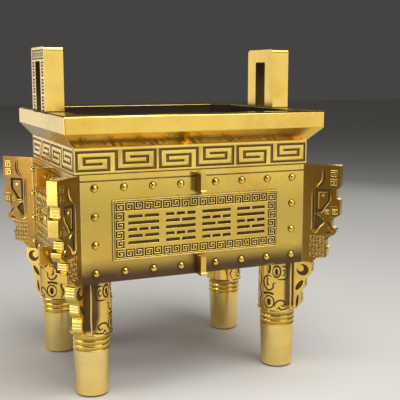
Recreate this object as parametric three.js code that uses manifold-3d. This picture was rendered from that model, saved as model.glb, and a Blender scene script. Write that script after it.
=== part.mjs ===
// A square bronze ding: a cast rectangular vessel on four round legs, with a flared rim,
// stepped flanges on its corners and two upright ears that were cast apart and brazed on.
// Millimetres, +Z up, X along the long side and -Y the front; the origin is on the ground
// under the middle of the vessel.
import * as THREE from "three";
import { mergeVertices } from "three/addons/utils/BufferGeometryUtils.js";
import Module from "manifold-3d";

const wasm = await Module();
wasm.setup();

// Body, neck and rim
const BODY_LENGTH = 214.2;
const BODY_DEPTH = 159.6;
const BODY_HEIGHT = 88.1;
const BODY_WALL = 6;
const FLOOR = 7;
const NECK_INSET = 2.1;
const NECK_HEIGHT = 21.2;
const NECK_WALL = 6;
const RIM_OVERHANG_ENDS = 9.6;
const RIM_OVERHANG_SIDES = 12.8;
const RIM_SLOPE_HEIGHT = 11.8;
const RIM_HEIGHT = 14.1;
const RIM_BEVEL = 1.6;
const RIM_TOP_ENDS = 17;
const RIM_TOP_SIDES = 10;
const MOUTH_DEPTH = 10;
const MOUTH_CORNER = 16;
const CAVITY_CORNER = 3;
const STRIP_HEIGHT = 4.4;
const STRIP_GROOVE_HEIGHT = 1.2;
const STRIP_GROOVE_DEPTH = 0.9;

// Legs
const LEG_HEIGHT = 99.5;
const LEG_RADIUS = 17.3;
const LEG_INSET_ENDS = 18.9;
const LEG_INSET_SIDES = 21.5;
const FOOT_RADIUS = 14.2;
const FOOT_EDGE = 3;
const ANKLE_RADIUS = 15.4;
const ANKLE_HEIGHT = 39.9;
const RING_RADIUS = 15.95;
const RING_PITCH = 4.4;
const RING_COUNT = 3;
const RING_GROOVE_WIDTH = 1.7;
const RING_GROOVE_DEPTH = 1.3;
const COLLAR_HEIGHT = 3;
const LEG_SIDES = 16;

// Stepped flanges on the corners and lobed ones on the legs
const FLANGE_THICKNESS = 9;
const FLANGE_REACH = 28.8;
const FLANGE_RELIEF = 0.8;
const LOBE_THICKNESS = 9;
const LOBE_REACH = 15.4;
const LOBE_CLEARANCE = 3;

// Fins in the middle of each face
const FIN_THICKNESS = 5.1;
const FIN_REACH = 12.2;
const FIN_HEIGHT = 16.6;
const FIN_TOP_GAP = 2;

// Bosses
const BOSS_RADIUS = 2.9;
const BOSS_HEIGHT = 3.3;
const BOSS_SIDES = 6;
const BOSS_TOP_DROP = 10.8;
const BOSS_BOTTOM_RISE = 8.3;
const BOSS_CORNER_GAP = 17.9;
const BOSS_SHORT_CORNER_GAP = 12.1;
const BOSS_MIDDLE_GAP = 15.75;
const BOSS_ROWS = 4;
const LONG_FACE_BOSSES = 4;
const SHORT_FACE_BOSSES = 3;

// Tablets on the faces
const TABLET_LIFT = 1.5;
const TABLET_FRAME = 2;
const TABLET_SINK = 0.8;
const FRET_BORDER = 8;
const LONG_TABLET_END_GAP = 32.1;
const LONG_TABLET_TOP_DROP = 20.9;
const LONG_TABLET_BOTTOM_RISE = 17.1;
const SHORT_TABLET_END_GAP = 25.2;
const SHORT_TABLET_TOP_DROP = 26.5;
const SHORT_TABLET_BOTTOM_RISE = 16.5;

// Shallow strokes in four groups on the front tablet
const STROKE_GROUPS = 4;
const STROKE_GROUP_WIDTH = 26.4;
const STROKE_ROWS = 5;
const STROKE_ROW_PITCH = 5.4;
const STROKE_WIDTH = 2.6;
const STROKE_GAP = 2.2;
const STROKE_DEPTH = 0.9;

// Running fret on the neck
const FRET_PAIRS_LONG = 3;
const FRET_PAIRS_SHORT = 2;
const FRET_GROOVE_UPRIGHT = 2.5;
const FRET_GROOVE_LEVEL = 1.8;
const FRET_PITCH_ACROSS = 6.4;
const FRET_PITCH_UP = 4.9;
const FRET_DIVIDER = 2;
const FRET_DEPTH = 1.1;
const FRET_LEVELS = 4;

// Mask relief on the short tablets
const MASK_LIFT = 1.4;
const MASK_BAR = 3.2;
const MASK_EYE_RADIUS = 4.2;
const MASK_EYE_GAP = 22;
const MASK_HALF_WIDTH = 34;
const MASK_ROW = 8.4;

// Ears
const EAR_THICKNESS = 16;
const EAR_WIDTH = 51;
const EAR_HEIGHT = 53.4;
const EAR_SETBACK = 0.4;
const EAR_HOLE_WIDTH = 18.9;
const EAR_TOP_BAR = 11.6;
const EAR_ROUND = 2.8;
const BRAZE_GAP = 0.3;

// How far a joined form runs into its neighbour
const ROOT = 1.5;

// Heights and half sizes that follow from them
const bodyBottom = LEG_HEIGHT;
const bodyTop = bodyBottom + BODY_HEIGHT;
const neckTop = bodyTop + NECK_HEIGHT;
const rimBottom = neckTop + RIM_SLOPE_HEIGHT;
const rimTop = rimBottom + RIM_HEIGHT;
const bodyHalf = { x: BODY_LENGTH / 2, y: BODY_DEPTH / 2 };
const neckHalf = grown(bodyHalf, -NECK_INSET, -NECK_INSET);
const rimHalf = grown(neckHalf, RIM_OVERHANG_ENDS, RIM_OVERHANG_SIDES);
const mouthHalf = grown(rimHalf, -RIM_TOP_ENDS, -RIM_TOP_SIDES);
const throatHalf = grown(neckHalf, -NECK_WALL, -NECK_WALL);
const cavityHalf = grown(bodyHalf, -BODY_WALL, -BODY_WALL);
const legAt = { x: bodyHalf.x - LEG_INSET_ENDS, y: bodyHalf.y - LEG_INSET_SIDES };

// The four upright faces: a turn about Z from the front, the distance out and the half width
const faces = [
  { name: "front", turn: 0, long: true },
  { name: "right", turn: Math.PI / 2, long: false },
  { name: "back", turn: Math.PI, long: true },
  { name: "left", turn: -Math.PI / 2, long: false },
].map((face) => ({
  ...face,
  reach: face.long ? bodyHalf.y : bodyHalf.x,
  half: face.long ? bodyHalf.x : bodyHalf.y,
  neckReach: face.long ? neckHalf.y : neckHalf.x,
  neckHalfWidth: face.long ? neckHalf.x : neckHalf.y,
}));

function grown(half, byX, byY) {
  return { x: half.x + byX, y: half.y + byY };
}

// A closed geometry as a solid, placed by a matrix
function solid(geometry, matrix = new THREE.Matrix4()) {
  const bare = geometry.clone().applyMatrix4(matrix);
  bare.deleteAttribute("normal");
  bare.deleteAttribute("uv");
  const merged = mergeVertices(bare, 1e-4);
  const corners = merged.index.array;
  const kept = [];
  for (let i = 0; i < corners.length; i += 3) {
    const [a, b, c] = corners.slice(i, i + 3);
    if (a !== b && b !== c && c !== a) kept.push(a, b, c);
  }
  const mesh = new wasm.Mesh({
    numProp: 3,
    vertProperties: merged.attributes.position.array,
    triVerts: new Uint32Array(kept),
  });
  return new wasm.Manifold(mesh);
}

function joined(solids) {
  return solids.reduce((whole, next) => whole.add(next));
}

function at(x, y, z) {
  return new THREE.Matrix4().makeTranslation(x, y, z);
}

function turnedTo(angle, inner = new THREE.Matrix4()) {
  return new THREE.Matrix4().makeRotationZ(angle).multiply(inner);
}

// A block between two corners
function block(x0, x1, y0, y1, z0, z1, matrix) {
  const box = new THREE.BoxGeometry(x1 - x0, y1 - y0, z1 - z0);
  box.translate((x0 + x1) / 2, (y0 + y1) / 2, (z0 + z1) / 2);
  return solid(box, matrix);
}

// The outline of a level: a rectangle, with its corners cut off where it has a corner size
function levelOutline({ half, corner }) {
  if (!corner) {
    return [
      [-half.x, -half.y],
      [half.x, -half.y],
      [half.x, half.y],
      [-half.x, half.y],
    ];
  }
  const x = half.x - corner;
  const y = half.y - corner;
  return [
    [-x, -half.y],
    [x, -half.y],
    [half.x, -y],
    [half.x, y],
    [x, half.y],
    [-x, half.y],
    [-half.x, y],
    [-half.x, -y],
  ];
}

// A closed solid through a stack of levels, from the lowest up
function stack(levels) {
  const rings = levels.map(levelOutline);
  const count = rings[0].length;
  const position = rings.flatMap((ring, i) => ring.flatMap(([x, y]) => [x, y, levels[i].z]));
  const index = [];
  for (let level = 0; level + 1 < rings.length; level += 1) {
    for (let i = 0; i < count; i += 1) {
      const a = level * count + i;
      const b = level * count + ((i + 1) % count);
      index.push(a, b, b + count, a, b + count, a + count);
    }
  }
  const top = (rings.length - 1) * count;
  for (let i = 1; i + 1 < count; i += 1) {
    index.push(0, i + 1, i);
    index.push(top, top + i, top + i + 1);
  }
  const geometry = new THREE.BufferGeometry();
  geometry.setAttribute("position", new THREE.Float32BufferAttribute(position, 3));
  geometry.setIndex(index);
  return solid(geometry);
}

// A plate of an outline in X and Z, with its thickness centred on the XZ plane
function plate(shape, thickness, matrix) {
  const geometry = new THREE.ExtrudeGeometry(shape, {
    depth: thickness,
    bevelEnabled: false,
    curveSegments: 5,
  });
  geometry.translate(0, 0, -thickness / 2);
  geometry.rotateX(Math.PI / 2);
  return solid(geometry, matrix);
}

function shapeOf(points) {
  return new THREE.Shape(points.map(([x, y]) => new THREE.Vector2(x, y)));
}

// A solid turned about Z from radius and height pairs that start and end on the axis
function turned(profile, sides, matrix) {
  const points = profile.map(([radius, height]) => new THREE.Vector2(radius, height));
  const geometry = new THREE.LatheGeometry(points, sides);
  geometry.rotateX(Math.PI / 2);
  return solid(geometry, matrix);
}

// The vessel's outside: body with a grooved strip at its top, neck, sloped underside and rim
function shell() {
  const stripBottom = bodyTop - STRIP_HEIGHT;
  const grooveHalf = grown(bodyHalf, -STRIP_GROOVE_DEPTH, -STRIP_GROOVE_DEPTH);
  const body = stack([
    { half: bodyHalf, z: bodyBottom },
    { half: bodyHalf, z: stripBottom - STRIP_GROOVE_HEIGHT },
    { half: grooveHalf, z: stripBottom - 0.75 * STRIP_GROOVE_HEIGHT },
    { half: grooveHalf, z: stripBottom - 0.25 * STRIP_GROOVE_HEIGHT },
    { half: bodyHalf, z: stripBottom },
    { half: bodyHalf, z: bodyTop },
  ]);
  const crown = stack([
    { half: neckHalf, z: bodyTop - ROOT },
    { half: neckHalf, z: neckTop },
    { half: rimHalf, z: rimBottom },
    { half: rimHalf, z: rimTop - RIM_BEVEL },
    { half: grown(rimHalf, -RIM_BEVEL, -RIM_BEVEL), z: rimTop },
  ]);
  return body.add(crown);
}

// The hollow inside, widening to the mouth
function cavity() {
  return stack([
    { half: cavityHalf, corner: CAVITY_CORNER, z: bodyBottom + FLOOR },
    { half: cavityHalf, corner: CAVITY_CORNER, z: bodyTop - BODY_WALL },
    { half: throatHalf, corner: CAVITY_CORNER, z: bodyTop },
    { half: throatHalf, corner: CAVITY_CORNER, z: neckTop },
    { half: mouthHalf, corner: MOUTH_CORNER, z: rimTop - MOUTH_DEPTH },
    { half: mouthHalf, corner: MOUTH_CORNER, z: rimTop + ROOT },
  ]);
}

// A leg: rounded foot, plain shank, grooved rings and a stouter upper part
function leg(x, y) {
  const ringsBottom = ANKLE_HEIGHT + RING_GROOVE_WIDTH;
  const profile = [
    [0, 0],
    [FOOT_RADIUS - FOOT_EDGE, 0],
    [FOOT_RADIUS - 0.3 * FOOT_EDGE, 0.3 * FOOT_EDGE],
    [FOOT_RADIUS, FOOT_EDGE],
    [ANKLE_RADIUS, ANKLE_HEIGHT],
  ];
  for (let ring = 0; ring < RING_COUNT; ring += 1) {
    const groove = ringsBottom + ring * RING_PITCH;
    profile.push([RING_RADIUS, groove - RING_GROOVE_WIDTH / 2]);
    profile.push([RING_RADIUS - RING_GROOVE_DEPTH, groove]);
    profile.push([RING_RADIUS, groove + RING_GROOVE_WIDTH / 2]);
  }
  const collar = ringsBottom + (RING_COUNT - 1) * RING_PITCH + RING_GROOVE_WIDTH / 2;
  profile.push([LEG_RADIUS, collar + COLLAR_HEIGHT]);
  profile.push([LEG_RADIUS, bodyBottom + ROOT]);
  profile.push([0, bodyBottom + ROOT]);
  const lobeBottom = collar + COLLAR_HEIGHT;
  const outward = Math.atan2(Math.sign(y), Math.sign(x));
  const place = at(x, y, 0).multiply(turnedTo(outward));
  return turned(profile, LEG_SIDES, at(x, y, 0)).add(lobes(lobeBottom, place));
}

// The lobed flange on a leg: reach from the leg's side and foot of each lobe, as shares
const LOBES = [
  { foot: 0, reach: 0.4 },
  { foot: 0.36, reach: 0.62 },
  { foot: 0.66, reach: 1 },
];

function lobes(bottom, place) {
  const height = bodyBottom - bottom + ROOT;
  const inner = LEG_RADIUS - LOBE_CLEARANCE;
  const outline = [
    [inner, bodyBottom + ROOT],
    [inner, bottom],
  ];
  LOBES.forEach(({ foot, reach }, i) => {
    const out = LEG_RADIUS + LOBE_REACH * reach;
    const low = bottom + height * foot;
    const high = bottom + height * (LOBES[i + 1]?.foot ?? 1);
    const ease = (high - low) * 0.16;
    outline.push([out - ease * 2, low]);
    outline.push([out, low + ease * 2]);
    outline.push([out, high - (i + 1 < LOBES.length ? ease : 0)]);
  });
  return plate(shapeOf(outline), LOBE_THICKNESS, place);
}

// The corner flange's steps from the top down: reach, head and foot, as shares
const FLANGE_STEPS = [
  { reach: 1, head: 0, foot: 0.222 },
  { reach: 0.875, head: 0.235, foot: 0.328 },
  { reach: 1, head: 0.342, foot: 0.495 },
  { reach: 0.755, head: 0.538, foot: 0.61 },
  { reach: 0.895, head: 0.635, foot: 0.681 },
  { reach: 0.585, head: 0.747, foot: 0.812 },
  { reach: 0.695, head: 0.832, foot: 0.838 },
  { reach: 0.62, head: 0.846, foot: 0.93 },
  { reach: 0.295, head: 0.945, foot: 0.955 },
  { reach: 0.19, head: 0.98, foot: 0.99 },
];

// A corner flange in its own plane, with X out from the body's corner and its relief cut
function flange(place) {
  const inner = -FLANGE_THICKNESS;
  const outline = [[inner, bodyTop]];
  outline.push([inner, bodyBottom]);
  [...FLANGE_STEPS].reverse().forEach(({ reach, head, foot }) => {
    outline.push([FLANGE_REACH * reach, bodyTop - BODY_HEIGHT * foot]);
    outline.push([FLANGE_REACH * reach, bodyTop - BODY_HEIGHT * head]);
  });
  const cuts = [eye(), hook(), browLine()].flatMap((shape) =>
    [-1, 1].map((side) => {
      const out = side * (FLANGE_THICKNESS / 2 + ROOT / 2 - FLANGE_RELIEF / 2);
      return plate(shape, FLANGE_RELIEF + ROOT, place.clone().multiply(at(0, out, 0)));
    }),
  );
  const whole = plate(shapeOf(outline), FLANGE_THICKNESS, place);
  return cuts.reduce((rest, cut) => rest.subtract(cut), whole);
}

function flangePoint([reach, drop]) {
  return [FLANGE_REACH * reach, bodyTop - BODY_HEIGHT * drop];
}

// The sunk eye: square above, narrowing to a point at its inner foot
function eye() {
  const outline = [
    [0.33, 0.27],
    [0.7, 0.25],
    [0.74, 0.34],
    [0.66, 0.4],
    [0.5, 0.46],
    [0.33, 0.46],
  ];
  return shapeOf(outline.map(flangePoint).reverse());
}

// The hooked leaf under the eye
function hook() {
  const outline = [
    [0.3, 0.53],
    [0.5, 0.5],
    [0.62, 0.57],
    [0.45, 0.63],
    [0.3, 0.68],
    [0.2, 0.62],
  ];
  return shapeOf(outline.map(flangePoint).reverse());
}

// The curved line over the eye
function browLine() {
  const outline = [
    [0.45, 0.05],
    [0.49, 0.05],
    [0.48, 0.14],
    [0.35, 0.22],
    [0.31, 0.2],
    [0.44, 0.13],
  ];
  return shapeOf(outline.map(flangePoint).reverse());
}

// Bosses of one face, in the face's own frame
function bosses(face) {
  const perHalf = face.long ? LONG_FACE_BOSSES : SHORT_FACE_BOSSES;
  const cornerGap = face.long ? BOSS_CORNER_GAP : BOSS_SHORT_CORNER_GAP;
  const outermost = face.half - cornerGap;
  const columnPitch = (outermost - BOSS_MIDDLE_GAP) / (perHalf - 1);
  const top = bodyTop - BOSS_TOP_DROP;
  const rowPitch = (top - bodyBottom - BOSS_BOTTOM_RISE) / (BOSS_ROWS - 1);
  const found = [];
  for (let row = 0; row < BOSS_ROWS; row += 1) {
    const edgeRow = row === 0 || row === BOSS_ROWS - 1;
    for (let column = 0; column < (edgeRow ? perHalf : 1); column += 1) {
      for (const side of [-1, 1]) {
        const across = side * (outermost - column * columnPitch);
        found.push(boss(across, top - row * rowPitch, face));
      }
    }
  }
  return found;
}

function boss(across, height, face) {
  const profile = [
    [0, -ROOT],
    [BOSS_RADIUS, -ROOT],
    [BOSS_RADIUS, 0.3 * BOSS_HEIGHT],
    [0.62 * BOSS_RADIUS, 0.84 * BOSS_HEIGHT],
    [0, BOSS_HEIGHT],
  ];
  const upright = new THREE.Matrix4().makeRotationX(Math.PI / 2);
  const place = turnedTo(face.turn, at(across, -face.reach, height).multiply(upright));
  return turned(profile, BOSS_SIDES, place);
}

// The upper and lower fin of one face
function fins(face) {
  const place = turnedTo(face.turn);
  const out = face.reach + FIN_REACH;
  const top = bodyTop - FIN_TOP_GAP;
  const width = FIN_THICKNESS / 2;
  return [
    block(-width, width, -out, -face.reach + ROOT, top - FIN_HEIGHT, top, place),
    block(-width, width, -out, -face.reach + ROOT, bodyBottom, bodyBottom + FIN_HEIGHT, place),
  ];
}

// Where a face's tablet lies
function tabletBounds(face) {
  const half = face.half - (face.long ? LONG_TABLET_END_GAP : SHORT_TABLET_END_GAP);
  const top = bodyTop - (face.long ? LONG_TABLET_TOP_DROP : SHORT_TABLET_TOP_DROP);
  const rise = face.long ? LONG_TABLET_BOTTOM_RISE : SHORT_TABLET_BOTTOM_RISE;
  return { half, top, bottom: bodyBottom + rise };
}

// A raised tablet with a frame, a sunk band for its fret and a raised field
function tablet(face) {
  const { half, top, bottom } = tabletBounds(face);
  const place = turnedTo(face.turn);
  const front = -face.reach - TABLET_LIFT;
  const ring = (inset, y0, y1) =>
    block(-half + inset, half - inset, y0, y1, bottom + inset, top - inset, place);
  const back = -face.reach + ROOT;
  const inner = TABLET_FRAME + FRET_BORDER;
  const sunk = ring(TABLET_FRAME, front - ROOT, front + TABLET_SINK);
  const whole = ring(0, front, back).subtract(sunk);
  return whole.add(ring(inner, front, back));
}

// Rows of shallow strokes in four groups, which stand where an inscription would
function strokes(face) {
  const { half, top, bottom } = tabletBounds(face);
  const field = half - TABLET_FRAME - FRET_BORDER;
  const groupPitch = (2 * field) / STROKE_GROUPS;
  const middle = (top + bottom) / 2;
  const front = -face.reach - TABLET_LIFT;
  const place = turnedTo(face.turn);
  const cuts = [];
  for (let group = 0; group < STROKE_GROUPS; group += 1) {
    const centre = (group - (STROKE_GROUPS - 1) / 2) * groupPitch;
    for (let row = 0; row < STROKE_ROWS; row += 1) {
      const z = middle + (row - (STROKE_ROWS - 1) / 2) * STROKE_ROW_PITCH;
      const parts = 1 + ((row + group) % 3);
      const length = (STROKE_GROUP_WIDTH + STROKE_GAP) / parts - STROKE_GAP;
      for (let part = 0; part < parts; part += 1) {
        const start = centre - STROKE_GROUP_WIDTH / 2 + part * (length + STROKE_GAP);
        const low = z - STROKE_WIDTH / 2;
        const deep = front + STROKE_DEPTH;
        cuts.push(block(start, start + length, front - ROOT, deep, low, low + STROKE_WIDTH, place));
      }
    }
  }
  return cuts;
}

// A plain mask in relief for the short tablets: nose, eyes, brows, horns and jaws
function mask(face) {
  const { top, bottom } = tabletBounds(face);
  const middle = (top + bottom) / 2;
  const front = -face.reach - TABLET_LIFT;
  const place = turnedTo(face.turn);
  const bar = (x0, x1, z0, z1) =>
    block(x0, x1, front - MASK_LIFT, front + ROOT, middle + z0, middle + z1, place);
  const solids = [bar(-MASK_BAR / 2, MASK_BAR / 2, -1.5 * MASK_ROW, 1.5 * MASK_ROW)];
  for (const side of [-1, 1]) {
    const run = (x0, x1, z0, z1) => solids.push(bar(...span(side * x0, side * x1), z0, z1));
    const eyeMatrix = at(side * (MASK_EYE_GAP / 2), front, middle)
      .multiply(new THREE.Matrix4().makeRotationX(Math.PI / 2));
    const eyeProfile = [
      [0, -ROOT],
      [MASK_EYE_RADIUS, -ROOT],
      [MASK_EYE_RADIUS, 0.5 * MASK_LIFT],
      [0.5 * MASK_EYE_RADIUS, 1.6 * MASK_LIFT],
      [0, 1.8 * MASK_LIFT],
    ];
    solids.push(turned(eyeProfile, BOSS_SIDES, turnedTo(face.turn, eyeMatrix)));
    run(MASK_BAR, MASK_HALF_WIDTH, MASK_ROW - MASK_BAR / 2, MASK_ROW + MASK_BAR / 2);
    run(MASK_HALF_WIDTH - MASK_BAR, MASK_HALF_WIDTH, 0, MASK_ROW);
    run(MASK_EYE_GAP, MASK_HALF_WIDTH, -MASK_BAR / 2, MASK_BAR / 2);
    run(MASK_BAR, MASK_HALF_WIDTH, -MASK_ROW - MASK_BAR / 2, -MASK_ROW + MASK_BAR / 2);
  }
  return solids;
}

function span(a, b) {
  return a < b ? [a, b] : [b, a];
}

// One run of square-cut groove through a list of points in X and Z
function groove(points, y0, y1, place) {
  const wide = FRET_GROOVE_UPRIGHT / 2;
  const high = FRET_GROOVE_LEVEL / 2;
  const runs = points.slice(1).map(([x, z], i) => {
    const [x0, x1] = span(points[i][0], x);
    const [z0, z1] = span(points[i][1], z);
    return block(x0 - wide, x1 + wide, y0, y1, z0 - high, z1 + high, place);
  });
  return joined(runs);
}

// The running fret round the neck: pairs of meanders that share their middle groove
function neckFret(face) {
  const pairs = face.long ? FRET_PAIRS_LONG : FRET_PAIRS_SHORT;
  const pairPitch = (2 * face.neckHalfWidth) / pairs;
  const middle = bodyTop + NECK_HEIGHT / 2;
  const level = (row) => middle + ((FRET_LEVELS - 1) / 2 - row) * FRET_PITCH_UP;
  const outer = (pairPitch - FRET_DIVIDER - FRET_GROOVE_UPRIGHT) / 2;
  const inner = FRET_PITCH_ACROSS;
  const half = [
    [0, level(3)],
    [0, level(0)],
    [-outer, level(0)],
    [-outer, level(3)],
    [-inner, level(3)],
    [-inner, level(1)],
    [-outer + FRET_PITCH_ACROSS, level(1)],
    [-outer + FRET_PITCH_ACROSS, level(2)],
    [-inner - FRET_PITCH_ACROSS, level(2)],
  ];
  const front = -face.neckReach;
  const place = turnedTo(face.turn);
  const cuts = [];
  for (let pair = 0; pair < pairs; pair += 1) {
    const centre = (pair - (pairs - 1) / 2) * pairPitch;
    for (const side of [1, -1]) {
      const points = half.map(([x, z]) => [centre + side * x, middle + side * (z - middle)]);
      cuts.push(groove(points, front - ROOT, front + FRET_DEPTH, place));
    }
  }
  return cuts;
}

// The vessel, cast in one
function vessel() {
  const added = [];
  const cut = [cavity()];
  for (const sideX of [-1, 1]) {
    for (const sideY of [-1, 1]) {
      added.push(leg(sideX * legAt.x, sideY * legAt.y));
      const turn = Math.atan2(sideY, sideX);
      added.push(flange(at(sideX * bodyHalf.x, sideY * bodyHalf.y, 0).multiply(turnedTo(turn))));
    }
  }
  for (const face of faces) {
    added.push(...bosses(face), ...fins(face), tablet(face));
    if (!face.long) added.push(...mask(face));
    if (face.name === "front") cut.push(...strokes(face));
    cut.push(...neckFret(face));
  }
  return joined([shell(), ...added]).subtract(joined(cut));
}

// An ear, as a slab in Y and Z with a slot open at its foot, seen from its end
function ear(side) {
  const half = EAR_WIDTH / 2;
  const slot = EAR_HOLE_WIDTH / 2;
  const base = rimTop + BRAZE_GAP;
  const top = base + EAR_HEIGHT;
  const shape = new THREE.Shape();
  shape.moveTo(-half, base);
  shape.lineTo(-slot, base);
  shape.lineTo(-slot, top - EAR_TOP_BAR);
  shape.lineTo(slot, top - EAR_TOP_BAR);
  shape.lineTo(slot, base);
  shape.lineTo(half, base);
  shape.lineTo(half, top - EAR_ROUND);
  shape.absarc(half - EAR_ROUND, top - EAR_ROUND, EAR_ROUND, 0, Math.PI / 2);
  shape.lineTo(-half + EAR_ROUND, top);
  shape.absarc(-half + EAR_ROUND, top - EAR_ROUND, EAR_ROUND, Math.PI / 2, Math.PI);
  const outer = rimHalf.x - EAR_SETBACK;
  const middle = outer - EAR_THICKNESS / 2;
  const place = turnedTo(side * (Math.PI / 2), at(0, -middle, 0));
  return plate(shape, EAR_THICKNESS, place);
}

const bronze = new THREE.MeshStandardMaterial({
  color: 0xd9b45a,
  metalness: 1,
  roughness: 0.24,
});

function mesh(name, whole) {
  const { vertProperties, triVerts, numProp } = whole.getMesh();
  const geometry = new THREE.BufferGeometry();
  const stride = new THREE.InterleavedBuffer(vertProperties, numProp);
  geometry.setAttribute("position", new THREE.InterleavedBufferAttribute(stride, 3, 0));
  geometry.setIndex(new THREE.BufferAttribute(triVerts, 1));
  const made = new THREE.Mesh(geometry, bronze);
  made.name = name;
  return made;
}

const ding = new THREE.Group();
ding.add(mesh("vessel", vessel()));
ding.add(mesh("left_ear", ear(-1)));
ding.add(mesh("right_ear", ear(1)));

export default ding;
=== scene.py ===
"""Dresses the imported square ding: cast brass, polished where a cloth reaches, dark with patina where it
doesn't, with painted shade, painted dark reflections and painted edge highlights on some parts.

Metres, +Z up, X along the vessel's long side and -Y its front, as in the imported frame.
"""

from __future__ import annotations

import logging
import math
from dataclasses import dataclass
from enum import Enum
from typing import Callable, Iterable, Sequence

import bpy
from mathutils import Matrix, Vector

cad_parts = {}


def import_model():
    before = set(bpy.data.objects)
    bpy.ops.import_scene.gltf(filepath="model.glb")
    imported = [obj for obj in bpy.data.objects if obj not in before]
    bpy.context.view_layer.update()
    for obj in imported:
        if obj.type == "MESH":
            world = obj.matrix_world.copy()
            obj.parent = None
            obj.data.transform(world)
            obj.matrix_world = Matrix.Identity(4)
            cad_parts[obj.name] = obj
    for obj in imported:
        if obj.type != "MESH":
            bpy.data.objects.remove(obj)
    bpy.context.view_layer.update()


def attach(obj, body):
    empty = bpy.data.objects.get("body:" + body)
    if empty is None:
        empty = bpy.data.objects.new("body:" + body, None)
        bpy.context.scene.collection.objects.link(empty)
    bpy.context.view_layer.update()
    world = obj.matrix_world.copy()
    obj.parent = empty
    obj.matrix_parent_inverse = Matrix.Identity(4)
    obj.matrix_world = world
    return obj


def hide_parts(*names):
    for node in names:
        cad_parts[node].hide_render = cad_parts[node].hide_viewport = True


log = logging.getLogger("ding")

MM = 0.001
BODY_OF_ALL = "root"

# How far a joined form runs into its neighbour, and how thick a cutting plate is
ROOT = 1.5 * MM
CUTTER = 3 * MM

# The share of a side that the rounding of one of its corners may take
CORNER_SHARE = 0.45

Colour = tuple[float, float, float]
Point = tuple[float, float]
Rect = tuple[float, float, float, float]
Grain = tuple[float, float, float]


class Side(Enum):
    """The four upright faces, each with its turn about Z from the front."""

    FRONT = 0.0
    RIGHT = math.pi / 2
    BACK = math.pi
    LEFT = -math.pi / 2

    @property
    def long(self) -> bool:
        """Whether this is one of the two long faces."""
        return self in (Side.FRONT, Side.BACK)


@dataclass(frozen=True)
class Sizes:
    """The vessel's own sizes in metres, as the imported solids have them."""

    body_half: tuple[float, float] = (107.1 * MM, 79.8 * MM)
    body_bottom: float = 99.5 * MM
    body_height: float = 88.1 * MM
    wall: float = 6.0 * MM
    floor: float = 7.0 * MM
    strip_height: float = 4.4 * MM
    strip_groove_height: float = 1.2 * MM
    strip_groove_depth: float = 0.9 * MM
    neck_inset: float = 2.1 * MM
    neck_height: float = 21.2 * MM
    slope_height: float = 11.8 * MM
    rim_height: float = 14.1 * MM
    rim_overhang: tuple[float, float] = (9.6 * MM, 12.8 * MM)
    rim_top: tuple[float, float] = (17.0 * MM, 10.0 * MM)
    rim_bevel: float = 1.6 * MM
    mouth_depth: float = 10.0 * MM
    mouth_corner: float = 16.0 * MM
    fret_depth: float = 1.1 * MM
    leg_radius: float = 17.3 * MM
    leg_inset: tuple[float, float] = (18.9 * MM, 21.5 * MM)

    @property
    def body_top(self) -> float:
        """Height of the body's top, where the neck starts."""
        return self.body_bottom + self.body_height

    @property
    def neck_top(self) -> float:
        """Height of the neck's top, where the rim's underside starts."""
        return self.body_top + self.neck_height

    @property
    def rim_bottom(self) -> float:
        """Height of the lower edge of the rim's upright band."""
        return self.neck_top + self.slope_height

    @property
    def rim_top_height(self) -> float:
        """Height of the rim's top."""
        return self.rim_bottom + self.rim_height

    def grown(self, x: float, y: float) -> tuple[float, float]:
        """Half sizes of the body, grown along X and Y."""
        return (self.body_half[0] + x, self.body_half[1] + y)

    @property
    def neck_half(self) -> tuple[float, float]:
        """Half sizes of the neck."""
        return self.grown(-self.neck_inset, -self.neck_inset)

    @property
    def rim_half(self) -> tuple[float, float]:
        """Half sizes of the rim."""
        return (
            self.neck_half[0] + self.rim_overhang[0],
            self.neck_half[1] + self.rim_overhang[1],
        )

    @property
    def leg_at(self) -> tuple[float, float]:
        """How far the legs stand from the middle along X and Y."""
        return self.grown(-self.leg_inset[0], -self.leg_inset[1])

    def reach(self, side: Side) -> float:
        """How far a face of the body stands from the middle."""
        return self.body_half[1] if side.long else self.body_half[0]

    def half_width(self, side: Side) -> float:
        """Half the width of a face of the body."""
        return self.body_half[0] if side.long else self.body_half[1]


class Expr:
    """A shader socket whose arithmetic makes Math nodes."""

    def __init__(self, graph: "Graph", socket: bpy.types.NodeSocket) -> None:
        """Wraps a socket.

        Args:
            graph: The node graph that the socket belongs to.
            socket: The output socket.
        """
        self.graph = graph
        self.socket = socket

    def _math(self, operation: str, first: "Expr | float", second: "Expr | float") -> "Expr":
        """Adds a Math node of two values."""
        node = self.graph.node("ShaderNodeMath", {"operation": operation}, {0: first, 1: second})
        return Expr(self.graph, node.outputs[0])

    def __add__(self, other: "Expr | float") -> "Expr":
        """Sum."""
        return self._math("ADD", self, other)

    def __radd__(self, other: float) -> "Expr":
        """Sum, reflected."""
        return self._math("ADD", other, self)

    def __sub__(self, other: "Expr | float") -> "Expr":
        """Difference."""
        return self._math("SUBTRACT", self, other)

    def __rsub__(self, other: float) -> "Expr":
        """Difference, reflected."""
        return self._math("SUBTRACT", other, self)

    def __mul__(self, other: "Expr | float") -> "Expr":
        """Product."""
        return self._math("MULTIPLY", self, other)

    def __rmul__(self, other: float) -> "Expr":
        """Product, reflected."""
        return self._math("MULTIPLY", other, self)

    def size(self) -> "Expr":
        """The value without its sign."""
        return self._math("ABSOLUTE", self, 0.0)

    def clamped(self) -> "Expr":
        """The value held between 0 and 1."""
        return self._math("MAXIMUM", self._math("MINIMUM", self, 1.0), 0.0)

    def between(self, low: float, high: float) -> "Expr":
        """A smooth step from 0 at low to 1 at high.

        Args:
            low: Where the step starts.
            high: Where it ends.

        Returns:
            The step.
        """
        node = self.graph.node(
            "ShaderNodeMapRange",
            {"interpolation_type": "SMOOTHSTEP"},
            {"Value": self, "From Min": low, "From Max": high},
        )
        return Expr(self.graph, node.outputs["Result"])


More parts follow.
